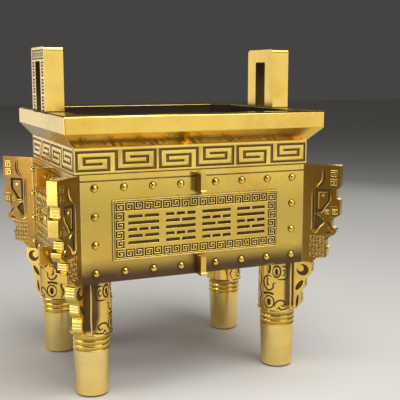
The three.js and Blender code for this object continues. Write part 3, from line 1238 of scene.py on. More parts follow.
@dataclass
class Shell:
    """Body, neck and rim in one hollow shell."""

    casting: Casting
    ease: float = 1.0 * MM
    rim_ease: float = 2.6 * MM
    lip: float = 2.0 * MM

    def build(self) -> None:
        """Extrudes the shell's outside up, then its inside down."""
        s = self.casting.sizes
        hx, hy = s.body_half
        groove = s.grown(-s.strip_groove_depth, -s.strip_groove_depth)
        strip = s.body_top - s.strip_height
        neck = s.neck_half
        sunk = (neck[0] - s.fret_depth, neck[1] - s.fret_depth)
        rim = s.rim_half
        top = (rim[0] - s.rim_bevel, rim[1] - s.rim_bevel)
        mouth = (rim[0] - s.rim_top[0], rim[1] - s.rim_top[1])
        outside = [
            (s.body_bottom, hx, hy),
            (strip - s.strip_groove_height, hx, hy),
            (strip - 0.75 * s.strip_groove_height, *groove),
            (strip - 0.25 * s.strip_groove_height, *groove),
            (strip, hx, hy),
            (s.body_top, hx, hy),
            (s.body_top, *sunk),
            (s.neck_top, *sunk),
            (s.neck_top, *neck),
            (s.rim_bottom, *rim),
            (s.rim_top_height - s.rim_bevel, *rim),
            (s.rim_top_height, *top),
            (s.rim_top_height, *mouth),
        ]
        Bench.clear()
        bpy.ops.mesh.primitive_plane_add(size=1.0, location=(0.0, 0.0, s.body_bottom))
        shell = bpy.context.object
        shell.scale = (2 * hx, 2 * hy, 1.0)
        Bench.settle(shell)
        Bench.raised(shell, outside)
        self.sink(shell, mouth)
        rounded_at = (s.rim_bottom, s.rim_top_height - s.rim_bevel, s.rim_top_height, s.body_bottom)

        def soft(low: Vector, high: Vector) -> float:
            """The share of the rim's rounding that an edge between two points takes."""
            level = abs(low.z - high.z) < 1e-6 and any(abs(low.z - z) < 1e-5 for z in rounded_at)
            upright = abs(low.z - high.z) > 5 * MM
            rim = upright and max(low.z, high.z) > s.rim_bottom + MM and abs(low.x) > top[0] - MM
            return 1.0 if rim else self.ease / self.rim_ease if level or upright else 0.0

        Bench.eased_edges(shell, self.rim_ease, 3, soft)
        Bench.smooth(shell)
        self.paint(shell)
        self.casting.keep(shell, "vessel_shell")

    def sink(self, shell: bpy.types.Object, mouth: Point) -> None:
        """Cuts the mouth's corners and extrudes the hollow down to the floor.

        Args:
            shell: The closed outside, with the mouth as its top face.
            mouth: Half sizes of the mouth.
        """
        s = self.casting.sizes
        throat = (s.neck_half[0] - s.wall, s.neck_half[1] - s.wall)
        cavity = s.grown(-s.wall, -s.wall)

        def lid(face: bpy.types.MeshPolygon) -> bool:
            """Whether a face is the one that closes the mouth."""
            return face.center.z > s.rim_top_height - 1e-5 and face.center.xy.length < MM

        Bench.pick(shell, lid)
        bpy.ops.mesh.select_mode(type="VERT")
        bpy.ops.mesh.bevel(affect="VERTICES", offset=s.mouth_corner, segments=1)
        Bench.pick(shell, lid)
        levels = [
            (s.rim_top_height, *mouth),
            (s.rim_top_height - s.mouth_depth, *mouth),
            (s.neck_top, *throat),
            (s.body_top, *throat),
            (s.body_top - s.wall, *cavity),
            (s.body_bottom + s.floor, *cavity),
        ]
        Bench.through(levels)
        bpy.ops.mesh.select_all(action="SELECT")
        bpy.ops.mesh.normals_make_consistent(inside=False)
        bpy.ops.object.mode_set(mode="OBJECT")

    def paint(self, shell: bpy.types.Object) -> None:
        """Bright outside, dark in the fret's ground and in the hollow.

        Args:
            shell: The shell.
        """
        s = self.casting.sizes
        lip = (s.rim_half[0] - s.rim_top[0] + MM, s.rim_half[1] - s.rim_top[1] + MM)
        lip_foot = s.rim_top_height - self.lip

        def chosen(face: bpy.types.MeshPolygon) -> int:
            """2 in the hollow, 1 on the fret's ground and 0 elsewhere."""
            x, y, z = face.center
            inward = face.normal.x * x + face.normal.y * y < 0 or face.normal.z > 0.5
            within = abs(x) < lip[0] and abs(y) < lip[1]
            if within and inward and s.body_bottom + MM < z < lip_foot:
                return 2
            neck = s.body_top + 0.5 * MM < z < s.neck_top - 0.5 * MM
            return 1 if neck and not inward else 0

        c = self.casting
        # The outside takes the body brass, with its painted shade and painted dark reflection along the
        # foot.
        Bench.painted(shell, (c.body, c.neck, c.inside), chosen)


@dataclass
class NeckFret:
    """The running fret that stands on the neck's four faces."""

    casting: Casting
    fret: Fret = Fret(6.4 * MM, 4.9 * MM, 2.5 * MM, 1.8 * MM)
    divider: float = 2.0 * MM
    long_pairs: int = 3
    short_pairs: int = 2
    root: float = 0.5 * MM
    ease: float = 0.35 * MM

    def build(self) -> None:
        """Makes one pierced band for each face and joins them."""
        s = self.casting.sizes
        middle = s.body_top + s.neck_height / 2
        bands = []
        for side in Side:
            half = s.neck_half[0] if side.long else s.neck_half[1]
            reach = s.neck_half[1] if side.long else s.neck_half[0]
            count = self.long_pairs if side.long else self.short_pairs
            width = 2 * half / count
            holes = []
            for i in range(count):
                centre = (i - (count - 1) / 2) * width
                holes.append(self.fret.pair((centre, middle), width, self.divider))
            area = rectangle(-half, half, s.body_top, s.neck_top)
            thickness = s.fret_depth + self.root
            band = Bench.plate([area, *holes], thickness, self.ease, 2)
            finishes = (self.casting.carved, self.casting.neck)
            Bench.sunk_walls(band, (-half, half, s.body_top, s.neck_top), finishes)
            bands.append(self.casting.on_face(band, side, reach - thickness / 2))
        self.casting.keep(Bench.smooth(Bench.joined(bands)), "neck_fret")


@dataclass
class Tablets:
    """The framed tablets on the four faces, with their fret borders and fields."""

    casting: Casting
    lift: float = 1.5 * MM
    frame: float = 2.0 * MM
    sink: float = 0.9 * MM
    border: float = 8.0 * MM
    long_gaps: tuple[float, float, float] = (32.1 * MM, 20.9 * MM, 17.1 * MM)
    short_gaps: tuple[float, float, float] = (25.2 * MM, 26.5 * MM, 16.5 * MM)
    stroke_groups: int = 4
    stroke_rows: int = 5
    group_width: float = 26.4 * MM
    row_pitch: float = 5.4 * MM
    stroke: float = 2.6 * MM
    stroke_gap: float = 2.2 * MM
    stroke_round: float = 0.6 * MM
    cell: float = 5.0 * MM
    cut: float = 0.138
    slab_inset: float = 0.1 * MM
    slab_root: float = 0.6 * MM
    face_root: float = 0.4 * MM
    ring: tuple[float, float] = (0.8 * MM, 0.2 * MM)
    ease: float = 0.09 * MM

    def bounds(self, side: Side) -> Rect:
        """Low and high X and Z of a face's tablet.

        Args:
            side: The face.

        Returns:
            Its bounds.
        """
        s = self.casting.sizes
        end, drop, rise = self.long_gaps if side.long else self.short_gaps
        half = s.half_width(side) - end
        return (-half, half, s.body_bottom + rise, s.body_top - drop)

    def build(self) -> None:
        """Makes the tablet of each face."""
        for side in Side:
            self.tablet(side)

    def tablet(self, side: Side) -> None:
        """Makes one tablet: slab, frame, fret border and field.

        Args:
            side: The face.
        """
        c = self.casting
        x0, x1, z0, z1 = self.bounds(side)
        edge = self.slab_inset
        low = (x0 + edge, self.sink - self.lift, z0 + edge)
        slab = Bench.block(low, (x1 - edge, self.slab_root, z1 - edge))
        Bench.painted(slab, (c.ground,))
        inset = self.frame
        holes = self.border_holes(x0 + inset, x1 - inset, z0 + inset, z1 - inset)
        for back in self.ring:
            gap = inset - back
            holes.append(rectangle(x0 + gap, x1 - gap, z0 + gap, z1 - gap))
        inset += self.border
        if side is Side.FRONT:
            holes += self.strokes(x1 - inset, (z0 + z1) / 2)
        elif not side.long:
            holes += self.thunder(x0 + inset, x1 - inset, z0 + inset, z1 - inset)
        thickness = self.sink + self.face_root
        face = Bench.plate([rectangle(x0, x1, z0, z1), *holes], thickness, self.ease)
        face.location.y = -self.lift + thickness / 2
        Bench.settle(face)
        Bench.sunk_walls(face, (x0, x1, z0, z1), (c.carved, c.ground))
        whole = Bench.smooth(Bench.joined([slab, face]))
        c.on_face(whole, side, c.sizes.reach(side))
        c.keep(whole, f"{side.name.lower()}_tablet")

    def border_holes(self, x0: float, x1: float, z0: float, z1: float) -> list[list[Point]]:
        """Grooves of the fret border: pairs of spirals along each side and one in each corner.

        Args:
            x0: Low X.
            x1: High X.
            z0: Low Z.
            z1: High Z.

        Returns:
            The grooves' outlines.
        """
        across = 2 * round((x1 - x0) / self.border / 2)
        tall = 2 * round((z1 - z0) / self.border / 2)
        wide, high = (x1 - x0) / across, (z1 - z0) / tall
        row = Fret(wide / 4, high / 4, wide * self.cut, high * self.cut)
        column = Fret(high / 4, wide / 4, high * self.cut, wide * self.cut)
        holes = []
        for z in (z0 + high / 2, z1 - high / 2):
            for i in range(across // 2 - 1):
                holes.append(row.pair((x0 + wide * (2 * i + 2), z), 2 * wide, row.upright))
            holes.append(row.corner((x0 + wide / 2, z), wide, 1.0))
            holes.append(row.corner((x1 - wide / 2, z), wide, -1.0))
        for x in (x0 + wide / 2, x1 - wide / 2):
            for i in range(tall // 2 - 1):
                holes.append(column.pair((x, z0 + high * (2 * i + 2)), 2 * high, column.upright, True))
        return holes

    def thunder(self, x0: float, x1: float, z0: float, z1: float) -> list[list[Point]]:
        """Rows of small square spirals over a short tablet's field.

        Args:
            x0: Low X.
            x1: High X.
            z0: Low Z.
            z1: High Z.

        Returns:
            The grooves' outlines.
        """
        across, tall = (round((b - a) / self.cell) for a, b in ((x0, x1), (z0, z1)))
        wide, high = (x1 - x0) / across, (z1 - z0) / tall
        fret = Fret(wide / 4, high / 4, wide / 8, high / 8)
        holes = []
        for row in range(tall):
            for i in range(across):
                centre = (x0 + wide * (i + 0.5), z0 + high * (row + 0.5))
                holes.append(fret.corner(centre, wide, 1.0 if (row + i) % 2 else -1.0))
        return holes

    def strokes(self, field_half: float, middle: float) -> list[list[Point]]:
        """Rows of plain strokes in four groups.

        Args:
            field_half: Half the field's width.
            middle: The height of its middle.

        Returns:
            The strokes' outlines.
        """
        pitch = 2 * field_half / self.stroke_groups
        holes = []
        for group in range(self.stroke_groups):
            centre = (group - (self.stroke_groups - 1) / 2) * pitch
            for row in range(self.stroke_rows):
                z = middle + (row - (self.stroke_rows - 1) / 2) * self.row_pitch
                parts = 1 + (row + group) % 3
                length = (self.group_width + self.stroke_gap) / parts - self.stroke_gap
                for part in range(parts):
                    start = centre - self.group_width / 2 + part * (length + self.stroke_gap)
                    outline = rectangle(start, start + length, z - self.stroke / 2, z + self.stroke / 2)
                    holes.append(rounded(outline, self.stroke_round, 2))
        return holes


@dataclass
class Masks:
    """The masks in relief on the two short tablets."""

    casting: Casting
    tablets: Tablets
    lift: float = 1.4 * MM
    bar: float = 3.2 * MM
    eye_radius: float = 4.2 * MM
    eye_gap: float = 22.0 * MM
    half_width: float = 34.0 * MM
    row: float = 8.4 * MM
    ease: float = 0.6 * MM

    def build(self) -> None:
        """Makes one mask for each short face."""
        for side in (Side.LEFT, Side.RIGHT):
            _, _, z0, z1 = self.tablets.bounds(side)
            made = self.relief((z0 + z1) / 2)
            reach = self.casting.sizes.reach(side) + self.tablets.lift
            self.casting.on_face(made, side, reach)
            Bench.painted(made, (self.casting.carved,))
            self.casting.keep(made, f"{side.name.lower()}_mask")

    def relief(self, middle: float) -> bpy.types.Object:
        """Nose, brows, horns, jaws and eyes, lying on the XZ plane.

        Args:
            middle: The height of its middle.

        Returns:
            The mask.
        """
        bar, row, half, gap = self.bar, self.row, self.half_width, self.eye_gap
        outlines = [rectangle(-bar / 2, bar / 2, middle - 1.5 * row, middle + 1.5 * row)]
        for sign in (-1.0, 1.0):
            lines = (
                [(bar, row), (half - bar / 2, row), (half - bar / 2, 0.0), (gap, 0.0)],
                [(bar, -row), (half * 0.8, -row), (half, -row * 0.4)],
            )
            for line in lines:
                placed = [(sign * x, middle + z) for x, z in line]
                outlines.append(ribbon(curved(placed, 5), bar))
        bars = [Bench.plate([outline], self.lift + MM) for outline in outlines]
        parts = [Bench.eased(bar, self.ease, 3) for bar in bars]
        for sign in (-1.0, 1.0):
            eye = Bench.dome(self.eye_radius, 1.8 * self.lift, 24)
            eye.location = (sign * gap / 2, 0.0, middle)
            parts.append(Bench.settle(eye))
        return Bench.smooth(Bench.joined(parts))


@dataclass
class Bosses:
    """The round bosses along the edges of each face."""

    casting: Casting
    radius: float = 2.9 * MM
    height: float = 3.3 * MM
    # The thin dark ring round each boss is a painted contact shadow.
    ring_radius: float = 3.35 * MM
    ring_height: float = 0.35 * MM
    top_drop: float = 10.8 * MM
    bottom_rise: float = 8.3 * MM
    long_corner_gap: float = 17.9 * MM
    short_corner_gap: float = 12.1 * MM
    middle_gap: float = 15.75 * MM
    rows: int = 4
    long_columns: int = 4
    short_columns: int = 3

    def places(self, side: Side) -> Iterable[Point]:
        """Where a face's bosses stand, across and up.

        Args:
            side: The face.

        Returns:
            The places.
        """
        s = self.casting.sizes
        count = self.long_columns if side.long else self.short_columns
        gap = self.long_corner_gap if side.long else self.short_corner_gap
        outermost = s.half_width(side) - gap
        column_pitch = (outermost - self.middle_gap) / (count - 1)
        top = s.body_top - self.top_drop
        row_pitch = (top - s.body_bottom - self.bottom_rise) / (self.rows - 1)
        for row in range(self.rows):
            for column in range(count if row in (0, self.rows - 1) else 1):
                for sign in (-1, 1):
                    yield sign * (outermost - column * column_pitch), top - row * row_pitch

    def build(self) -> None:
        """Copies the dome to every place."""
        model = self.one()
        made = []
        for side in Side:
            reach = self.casting.sizes.reach(side)
            for x, z in self.places(side):
                dome = Bench.copy(model)
                dome.location = (x, -reach, z)
                made.append(Bench.turned(Bench.settle(dome), side.value))
        bpy.data.objects.remove(model)
        self.casting.keep(Bench.joined(made), "bosses")

    def one(self) -> bpy.types.Object:
        """A dome in a thin dark ring of painted contact shadow, its back sunk behind the XZ plane.

        Returns:
            The boss and its ring.
        """
        dome = Bench.painted(Bench.dome(self.radius, self.height, 24), (self.casting.bright,))
        # A thin dark disc round the boss: painted contact shadow.
        ring = Bench.dome(self.ring_radius, self.ring_height, 24)
        Bench.painted(ring, (self.casting.ground,))
        return Bench.joined([dome, ring])


@dataclass
class Fins:
    """The upper and lower fin in the middle of each face."""

    casting: Casting
    thickness: float = 5.1 * MM
    reach: float = 12.2 * MM
    height: float = 16.6 * MM
    top_gap: float = 2.0 * MM
    foot: float = 2.2 * MM
    foot_rise: float = 0.3 * MM
    foot_step: float = 0.9 * MM
    head_step: float = 0.5 * MM
    corner: float = 0.4 * MM
    ease: float = 0.5 * MM

    def build(self) -> None:
        """Models one fin, then copies it to its eight places."""
        s = self.casting.sizes
        model = self.one()
        made = []
        for side in Side:
            for z in (s.body_top - self.top_gap - self.height, s.body_bottom):
                fin = Bench.copy(model)
                # On the long faces the fin's flat sides take the darker shaded brass: painted shade and dark
                # reflection.
                if side.long:
                    Bench.dressed(fin, self.casting.shaded, lambda face: abs(face.normal.x) > 0.9)
                fin.location = (0.0, -s.reach(side), z)
                made.append(Bench.turned(Bench.settle(fin), side.value))
        bpy.data.objects.remove(model)
        self.casting.keep(Bench.joined(made), "fins")

    def one(self) -> bpy.types.Object:
        """A fin standing out towards -Y, with a stepped foot.

        Returns:
            The fin.
        """
        out, high, foot = self.reach, self.height, self.foot
        outline = [
            (-ROOT, 0.0),
            (out, 0.0),
            (out, foot),
            (out - self.foot_step, foot + self.foot_rise),
            (out - self.head_step, high),
            (-ROOT, high),
        ]
        fin = Bench.plate([rounded(outline, self.corner, 2)], self.thickness, self.ease, 2)
        Bench.smooth(Bench.painted(fin, (self.casting.bright,)))
        return Bench.turned(fin, -math.pi / 2)


@dataclass
class Flanges:
    """The four stepped flanges that stand on the body's corners."""

    casting: Casting
    thickness: float = 9.0 * MM
    reach: float = 28.8 * MM
    relief: float = 0.9 * MM
    line: float = 1.5 * MM
    wire: float = 0.62 * MM
    scroll_wire: float = 0.36 * MM
    ridge: float = 0.6 * MM
    ridge_margin: float = 0.8 * MM
    notch_round: float = 1.1 * MM
    ease: float = 0.3 * MM
    pupil: float = 1.7 * MM
    steps: tuple[tuple[float, float, float], ...] = (
        (1.0, 0.0, 0.222),
        (0.875, 0.235, 0.328),
        (1.0, 0.342, 0.495),
        (0.755, 0.538, 0.61),
        (0.895, 0.635, 0.681),
        (0.585, 0.747, 0.812),
        (0.695, 0.832, 0.838),
        (0.62, 0.846, 0.93),
        (0.295, 0.945, 0.955),
        (0.19, 0.98, 0.99),
    )

    def point(self, share: Point) -> Point:
        """A point given as shares of the reach and of the drop."""
        s = self.casting.sizes
        return (self.reach * share[0], s.body_top - s.body_height * share[1])

    def points(self, shares: Sequence[Point]) -> list[Point]:
        """Several such points."""
        return [self.point(share) for share in shares]

    def outline(self) -> list[Point]:
        """The stepped outline, its notches rounded.

        Returns:
            The outline.
        """
        s = self.casting.sizes
        corners = [(-self.thickness, s.body_top), (-self.thickness, s.body_bottom)]
        for out, head, foot in reversed(self.steps):
            corners.append(self.point((out, foot)))
            corners.append(self.point((out, head)))
        return rounded(corners, self.notch_round, 3)

    def grooves(self) -> list[list[list[Point]]]:
        """The sunk shapes of one side, each with its outline and any island in it.

        Returns:
            The shapes.
        """
        eye = [(0.23, 0.235), (0.73, 0.235), (0.73, 0.365), (0.56, 0.437), (0.45, 0.487), (0.24, 0.48)]
        island = [(0.31, 0.262), (0.62, 0.262), (0.63, 0.348), (0.5, 0.405), (0.4, 0.45), (0.31, 0.45)]
        leaf = [(0.24, 0.5), (0.36, 0.505), (0.52, 0.562), (0.4, 0.603), (0.27, 0.655), (0.21, 0.64)]
        brow = [(0.5, 0.05), (0.505, 0.11), (0.46, 0.175), (0.33, 0.225)]
        stem = [(0.18, 0.24), (0.18, 0.4), (0.18, 0.63)]
        jaw = [(0.6, 0.56), (0.7, 0.6), (0.76, 0.64)]
        lip = [(0.8, 0.665), (0.68, 0.672), (0.56, 0.675)]
        made = [[rounded(self.points(eye), 1.6 * MM), rounded(self.points(island), 1.2 * MM)]]
        made.append([rounded(self.points(leaf), self.line)])
        made.append([ribbon(curved(self.points(brow)), self.line)])
        made += [[ribbon(curved(self.points(shape)), self.line * 0.75)] for shape in (stem, jaw, lip)]
        return made

    def spirals(self) -> list[bpy.types.Object]:
        """Raised square spirals near the edge, on both sides.

        Returns:
            The spirals.
        """
        made = []
        large, middle, small = 0.84 * MM, 0.66 * MM, 0.56 * MM
        places = (
            ((0.79, 0.082), large),
            ((0.79, 0.168), large),
            ((0.85, 0.462), middle),
            ((0.61, 0.468), small),
        )
        for share, cell in places:
            fret = Fret(2 * cell, 2 * cell, cell, cell)
            outline = fret.corner(self.point(share), 8 * cell, -1.0)
            for sign in (-1.0, 1.0):
                raised = Bench.plate([outline], MM, 0.15 * MM)
                raised.location.y = sign * (self.thickness / 2 + 0.1 * MM)
                made.append(Bench.settle(raised))
        return made

    def scrolls(self) -> list[bpy.types.Object]:
        """Small raised scrolls over the lowest step, on both sides.

        Returns:
            The scrolls.
        """
        upper = [(0.2, 0.55), (0.9, 0.8), (1.0, 1.5), (0.1, 1.9), (-0.9, 1.3)]
        lower = [(-0.2, 0.2), (0.8, -0.6), (0.3, -1.4), (-0.7, -1.2)]
        made = []
        for row in range(5):
            for column in range(5):
                x, z = self.point((0.12 + 0.1 * column, 0.735 + 0.046 * row))
                turn = 1.0 if (row + column) % 2 else -1.0
                for sign in (-1.0, 1.0):
                    side = sign * self.thickness / 2
                    path = [(x + turn * a * MM, side, z + b * MM) for a, b in (*upper, *lower)]
                    made.append(Bench.wire(path, self.scroll_wire))
        return made

    def lines(self) -> list[bpy.types.Object]:
        """The raised lines beside the sunk ones, on both sides.

        Returns:
            The lines as round bars.
        """
        brow = [(0.42, 0.04), (0.445, 0.1), (0.4, 0.165), (0.26, 0.22)]
        eye = [(0.7, 0.255), (0.7, 0.35), (0.55, 0.422), (0.45, 0.472), (0.3, 0.47)]
        leaf_foot = [(0.54, 0.58), (0.4, 0.625), (0.26, 0.685), (0.14, 0.66)]
        stem = [(0.13, 0.235), (0.125, 0.4), (0.13, 0.6), (0.12, 0.66)]
        leaf_head = [(0.3, 0.495), (0.4, 0.515), (0.51, 0.555)]
        jaw = [(0.64, 0.62), (0.72, 0.64), (0.8, 0.672)]
        eye_corner = [(0.6, 0.272), (0.345, 0.272), (0.345, 0.44)]
        snout_bar = [(0.72, 0.408), (0.93, 0.408)]
        snout_hook = [(0.72, 0.408), (0.72, 0.52), (0.86, 0.52)]
        step_bar = [(0.58, 0.705), (0.76, 0.703)]
        step_hook = [(0.16, 0.715), (0.41, 0.715), (0.41, 0.8)]
        smooth_lines = [curved(line) for line in (brow, eye, leaf_foot, stem, leaf_head, jaw)]
        made = []
        for sign in (-1.0, 1.0):
            side = sign * self.thickness / 2
            for shares in (*smooth_lines, eye_corner, snout_bar, snout_hook, step_bar, step_hook):
                path = [(x, side, z) for x, z in self.points([tuple(share) for share in shares])]
                made.append(Bench.wire(path, self.wire))
        return made

    def build(self) -> None:
        """Models one flange, then copies it to the four corners."""
        self.casting.at_corners(self.one(), "flange", *self.casting.sizes.body_half)

    def one(self) -> bpy.types.Object:
        """A flange in X and Z, X outwards from the corner, carved on both sides.

        Returns:
            The flange.
        """
        c = self.casting
        flange = Bench.plate([self.outline()], self.thickness)
        cutters = Bench.cutters(self.grooves(), self.thickness / 2, self.relief)
        Bench.carve(flange, cutters, (c.bright, c.ground))

        def flat_side(face: bpy.types.MeshPolygon) -> bool:
            """Whether a face is on an uncut side."""
            return face.material_index == 0 and abs(face.normal.y) > 0.9

        # The uncut sides take the darker shaded brass: painted shade and dark reflection.
        Bench.dressed(flange, c.shaded, flat_side)
        Bench.eased(flange, self.ease, 2)
        raised = Bench.painted(Bench.joined(self.lines()), (c.bright,))
        small = [*self.pupils(), *self.spirals(), *self.scrolls(), *self.ridges()]
        trim = Bench.painted(Bench.joined(small), (c.carved,))
        return Bench.smooth(Bench.joined([flange, raised, trim]))

    def pupils(self) -> list[bpy.types.Object]:
        """The raised diamond inside the eye, on both sides.

        Returns:
            The diamonds.
        """
        made = []
        x, z = self.point((0.47, 0.305))
        size = self.pupil
        diamond = [(x - size, z), (x, z - size), (x + size, z), (x, z + size)]
        for sign in (-1.0, 1.0):
            spot = Bench.plate([diamond], MM, 0.3 * MM)
            spot.location.y = sign * self.thickness / 2
            made.append(Bench.settle(spot))
        return made

    def ridges(self) -> list[bpy.types.Object]:
        """Level ridges across the edge, in its notches.

        Returns:
            The ridges as round bars.
        """
        made = []
        width = self.thickness / 2 - self.ridge_margin
        upper, middle, lower = (0.875, 0.24, 0.325, 4), (0.755, 0.55, 0.605, 3), (0.585, 0.757, 0.805, 3)
        for out, first, last, count in (upper, middle, lower):
            for i in range(count):
                x, z = self.point((out, first + (last - first) * i / (count - 1)))
                path = [(x, -width, z), (x, 0.0, z), (x, width, z)]
                made.append(Bench.wire(path, self.ridge, taper=False))
        return made


@dataclass
class Legs:
    """The four round legs with their ringed ankles, lobes and scrolls."""

    casting: Casting
    segments: int = 64
    foot_radius: float = 14.2 * MM
    foot_edge: float = 3.0 * MM
    ankle_radius: float = 15.4 * MM
    ankle: float = 39.9 * MM
    ring_radius: float = 15.95 * MM
    ring_pitch: float = 4.4 * MM
    rings: int = 3
    groove: float = 1.7 * MM
    groove_depth: float = 1.3 * MM
    collar: float = 3.0 * MM
    lobe_thickness: float = 9.0 * MM
    lobe_reach: float = 15.4 * MM
    lobe_root: float = 5.0 * MM
    lobe_steps: tuple[Point, ...] = ((0.0, 0.4), (0.36, 0.62), (0.66, 1.0), (1.0, 1.0))
    lobe_slant: float = 0.16
    lobe_round: float = 1.6 * MM
    lobe_ease: float = 0.5 * MM
    lobe_relief: float = 1.0 * MM
    low_hollow: tuple[float, float, float] = (0.17, 0.36, -0.1)
    middle_hollow: tuple[float, float, float] = (0.22, 0.42, -0.6)
    top_hollow: tuple[float, float, float] = (0.36, 0.34, 0.3)
    ridge: float = 0.8 * MM
    ridge_margin: float = 0.7 * MM
    ridge_sink: float = 0.3 * MM

    @property
    def collar_top(self) -> float:
        """Height of the collar over the rings, where the lobes start."""
        rings = self.ankle + self.groove + (self.rings - 1) * self.ring_pitch
        return rings + self.groove / 2 + self.collar

    def profile(self) -> list[Point]:
        """Radius and height up the leg.

        Returns:
            The points, from the foot up.
        """
        s = self.casting.sizes
        foot, edge = self.foot_radius, self.foot_edge
        made = [
            (foot - edge, 0.0),
            (foot - 0.62 * edge, 0.07 * edge),
            (foot - 0.3 * edge, 0.3 * edge),
            (foot - 0.07 * edge, 0.62 * edge),
            (foot, edge),
            (self.ankle_radius, self.ankle - 0.6 * MM),
            (self.ankle_radius + 0.3 * MM, self.ankle),
        ]
        for ring in range(self.rings):
            z = self.ankle + self.groove + ring * self.ring_pitch
            half, deep = self.groove / 2, self.ring_radius - self.groove_depth
            made += [
                (self.ring_radius - 0.35 * MM, z - half - 0.25 * MM),
                (self.ring_radius - 0.7 * MM, z - half),
                (deep, z - 0.3 * half),
                (deep, z + 0.3 * half),
                (self.ring_radius - 0.7 * MM, z + half),
                (self.ring_radius - 0.2 * MM, z + half + 0.3 * MM),
                (self.ring_radius, z + half + 0.9 * MM),
            ]
        top, radius = self.collar_top, s.leg_radius
        made += [(radius - 0.4 * MM, top - 0.9 * MM), (radius, top), (radius, s.body_bottom)]
        return made

    def build(self) -> None:
        """Models one leg, facing +X, then copies it under the four corners."""
        self.casting.at_corners(self.one(), "leg", *self.casting.sizes.leg_at)

    def one(self) -> bpy.types.Object:
        """A leg with its foot at the origin.

        Returns:
            The leg.
        """
        profile = self.profile()
        Bench.clear()
        foot = profile[0][0]
        bpy.ops.mesh.primitive_circle_add(vertices=self.segments, radius=foot, fill_type="NGON")
        leg = bpy.context.object
        Bench.raised(leg, [(z, r, r) for r, z in profile])
        c = self.casting
        # The leg takes the leg brass, with its painted dark reflection beside the plate and painted shade
        # round raised lines; the sunk lines take groove patina.
        Bench.carve(leg, Bench.joined(self.scrolls(self.sunk(), 0.1 * MM)), (c.legs, c.ground))
        # The feet take a brighter copy of the brass: a painted bright reflection.
        Bench.dressed(leg, c.feet, lambda face: face.center.z < self.ankle)
        lines = Bench.joined([*self.noses(), *self.scrolls(self.raised(), -0.1 * MM)])
        Bench.painted(lines, (c.carved,))
        return Bench.smooth(Bench.joined([leg, self.lobes(), lines]))

    def lobes(self) -> bpy.types.Object:
        """The lobed plate down the leg's outer side, with a hollow in each lobe.

        Returns:
            The plate.
        """
        s = self.casting.sizes
        bottom = self.collar_top
        height = s.body_bottom - bottom
        inner = s.leg_radius - self.lobe_root
        corners = [(inner, s.body_bottom), (inner, bottom)]
        hollows = []
        shapes = (self.low_hollow, self.middle_hollow, self.top_hollow)
        for (foot, reach), (head, _), shape in zip(self.lobe_steps, self.lobe_steps[1:], shapes):
            out = s.leg_radius + self.lobe_reach * reach
            low, high = bottom + height * foot, bottom + height * head
            ease = (high - low) * self.lobe_slant
            corners += [(out - 2 * ease, low), (out, low + 2 * ease)]
            corners.append((out, high - ease if head < 1 else high))
            hollows.append(self.hollow(shape, (out - s.leg_radius, high - low), low))
        plate = Bench.plate([rounded(corners, self.lobe_round)], self.lobe_thickness)
        cutters = Bench.cutters(hollows, self.lobe_thickness / 2, self.lobe_relief)
        Bench.carve(plate, cutters, (self.casting.bright, self.casting.ground))
        return Bench.eased(plate, self.lobe_ease, 3)

    def hollow(self, shape: tuple[float, float, float], lobe: Point, low: float) -> list[list[Point]]:
        """The oval sunk in one lobe, with an island where the oval is wide.

        Args:
            shape: Its half sizes as shares of the lobe, then its turn.
            lobe: The lobe's reach and height.
            low: The height of the lobe's foot.

        Returns:
            Its outline, and that of the island.
        """
        wide, deep, turn = shape
        long, tall = lobe
        x, z = self.casting.sizes.leg_radius + 0.48 * long, low + 0.5 * tall
        made = [self.ellipse((x, z), (wide * long, deep * tall), turn)]
        if wide > 0.3:
            island = (x - 0.13 * long, z + 0.09 * tall)
            made.append(self.ellipse(island, (0.2 * long, 0.2 * tall), turn))
        return made

    @staticmethod
    def ellipse(centre: Point, half: Point, turn: float) -> list[Point]:
        """An oval outline, turned by an angle.

        Args:
            centre: Its middle.
            half: Its half sizes.
            turn: Its turn in radians.

        Returns:
            The outline.
        """
        made = []
        for i in range(24):
            x, z = half[0] * math.cos(math.tau * i / 24), half[1] * math.sin(math.tau * i / 24)
            across = x * math.cos(turn) - z * math.sin(turn)
            up = x * math.sin(turn) + z * math.cos(turn)
            made.append((centre[0] + across, centre[1] + up))
        return made

    def noses(self) -> list[bpy.types.Object]:
        """Level ridges over the lobes' edge, like a ribbed beak.

        Returns:
            The ridges as round bars.
        """
        s = self.casting.sizes
        bottom = self.collar_top
        height = s.body_bottom - bottom
        width = self.lobe_thickness / 2 - self.ridge_margin
        made = []
        for (foot, reach), (head, _) in zip(self.lobe_steps, self.lobe_steps[1:]):
            x = s.leg_radius + self.lobe_reach * reach - self.ridge_sink
            for share in (0.5, 0.66, 0.82):
                z = bottom + height * (foot + (head - foot) * share)
                made.append(Bench.wire([(x, -width, z), (x, 0, z), (x, width, z)], self.ridge, taper=False))
        return made

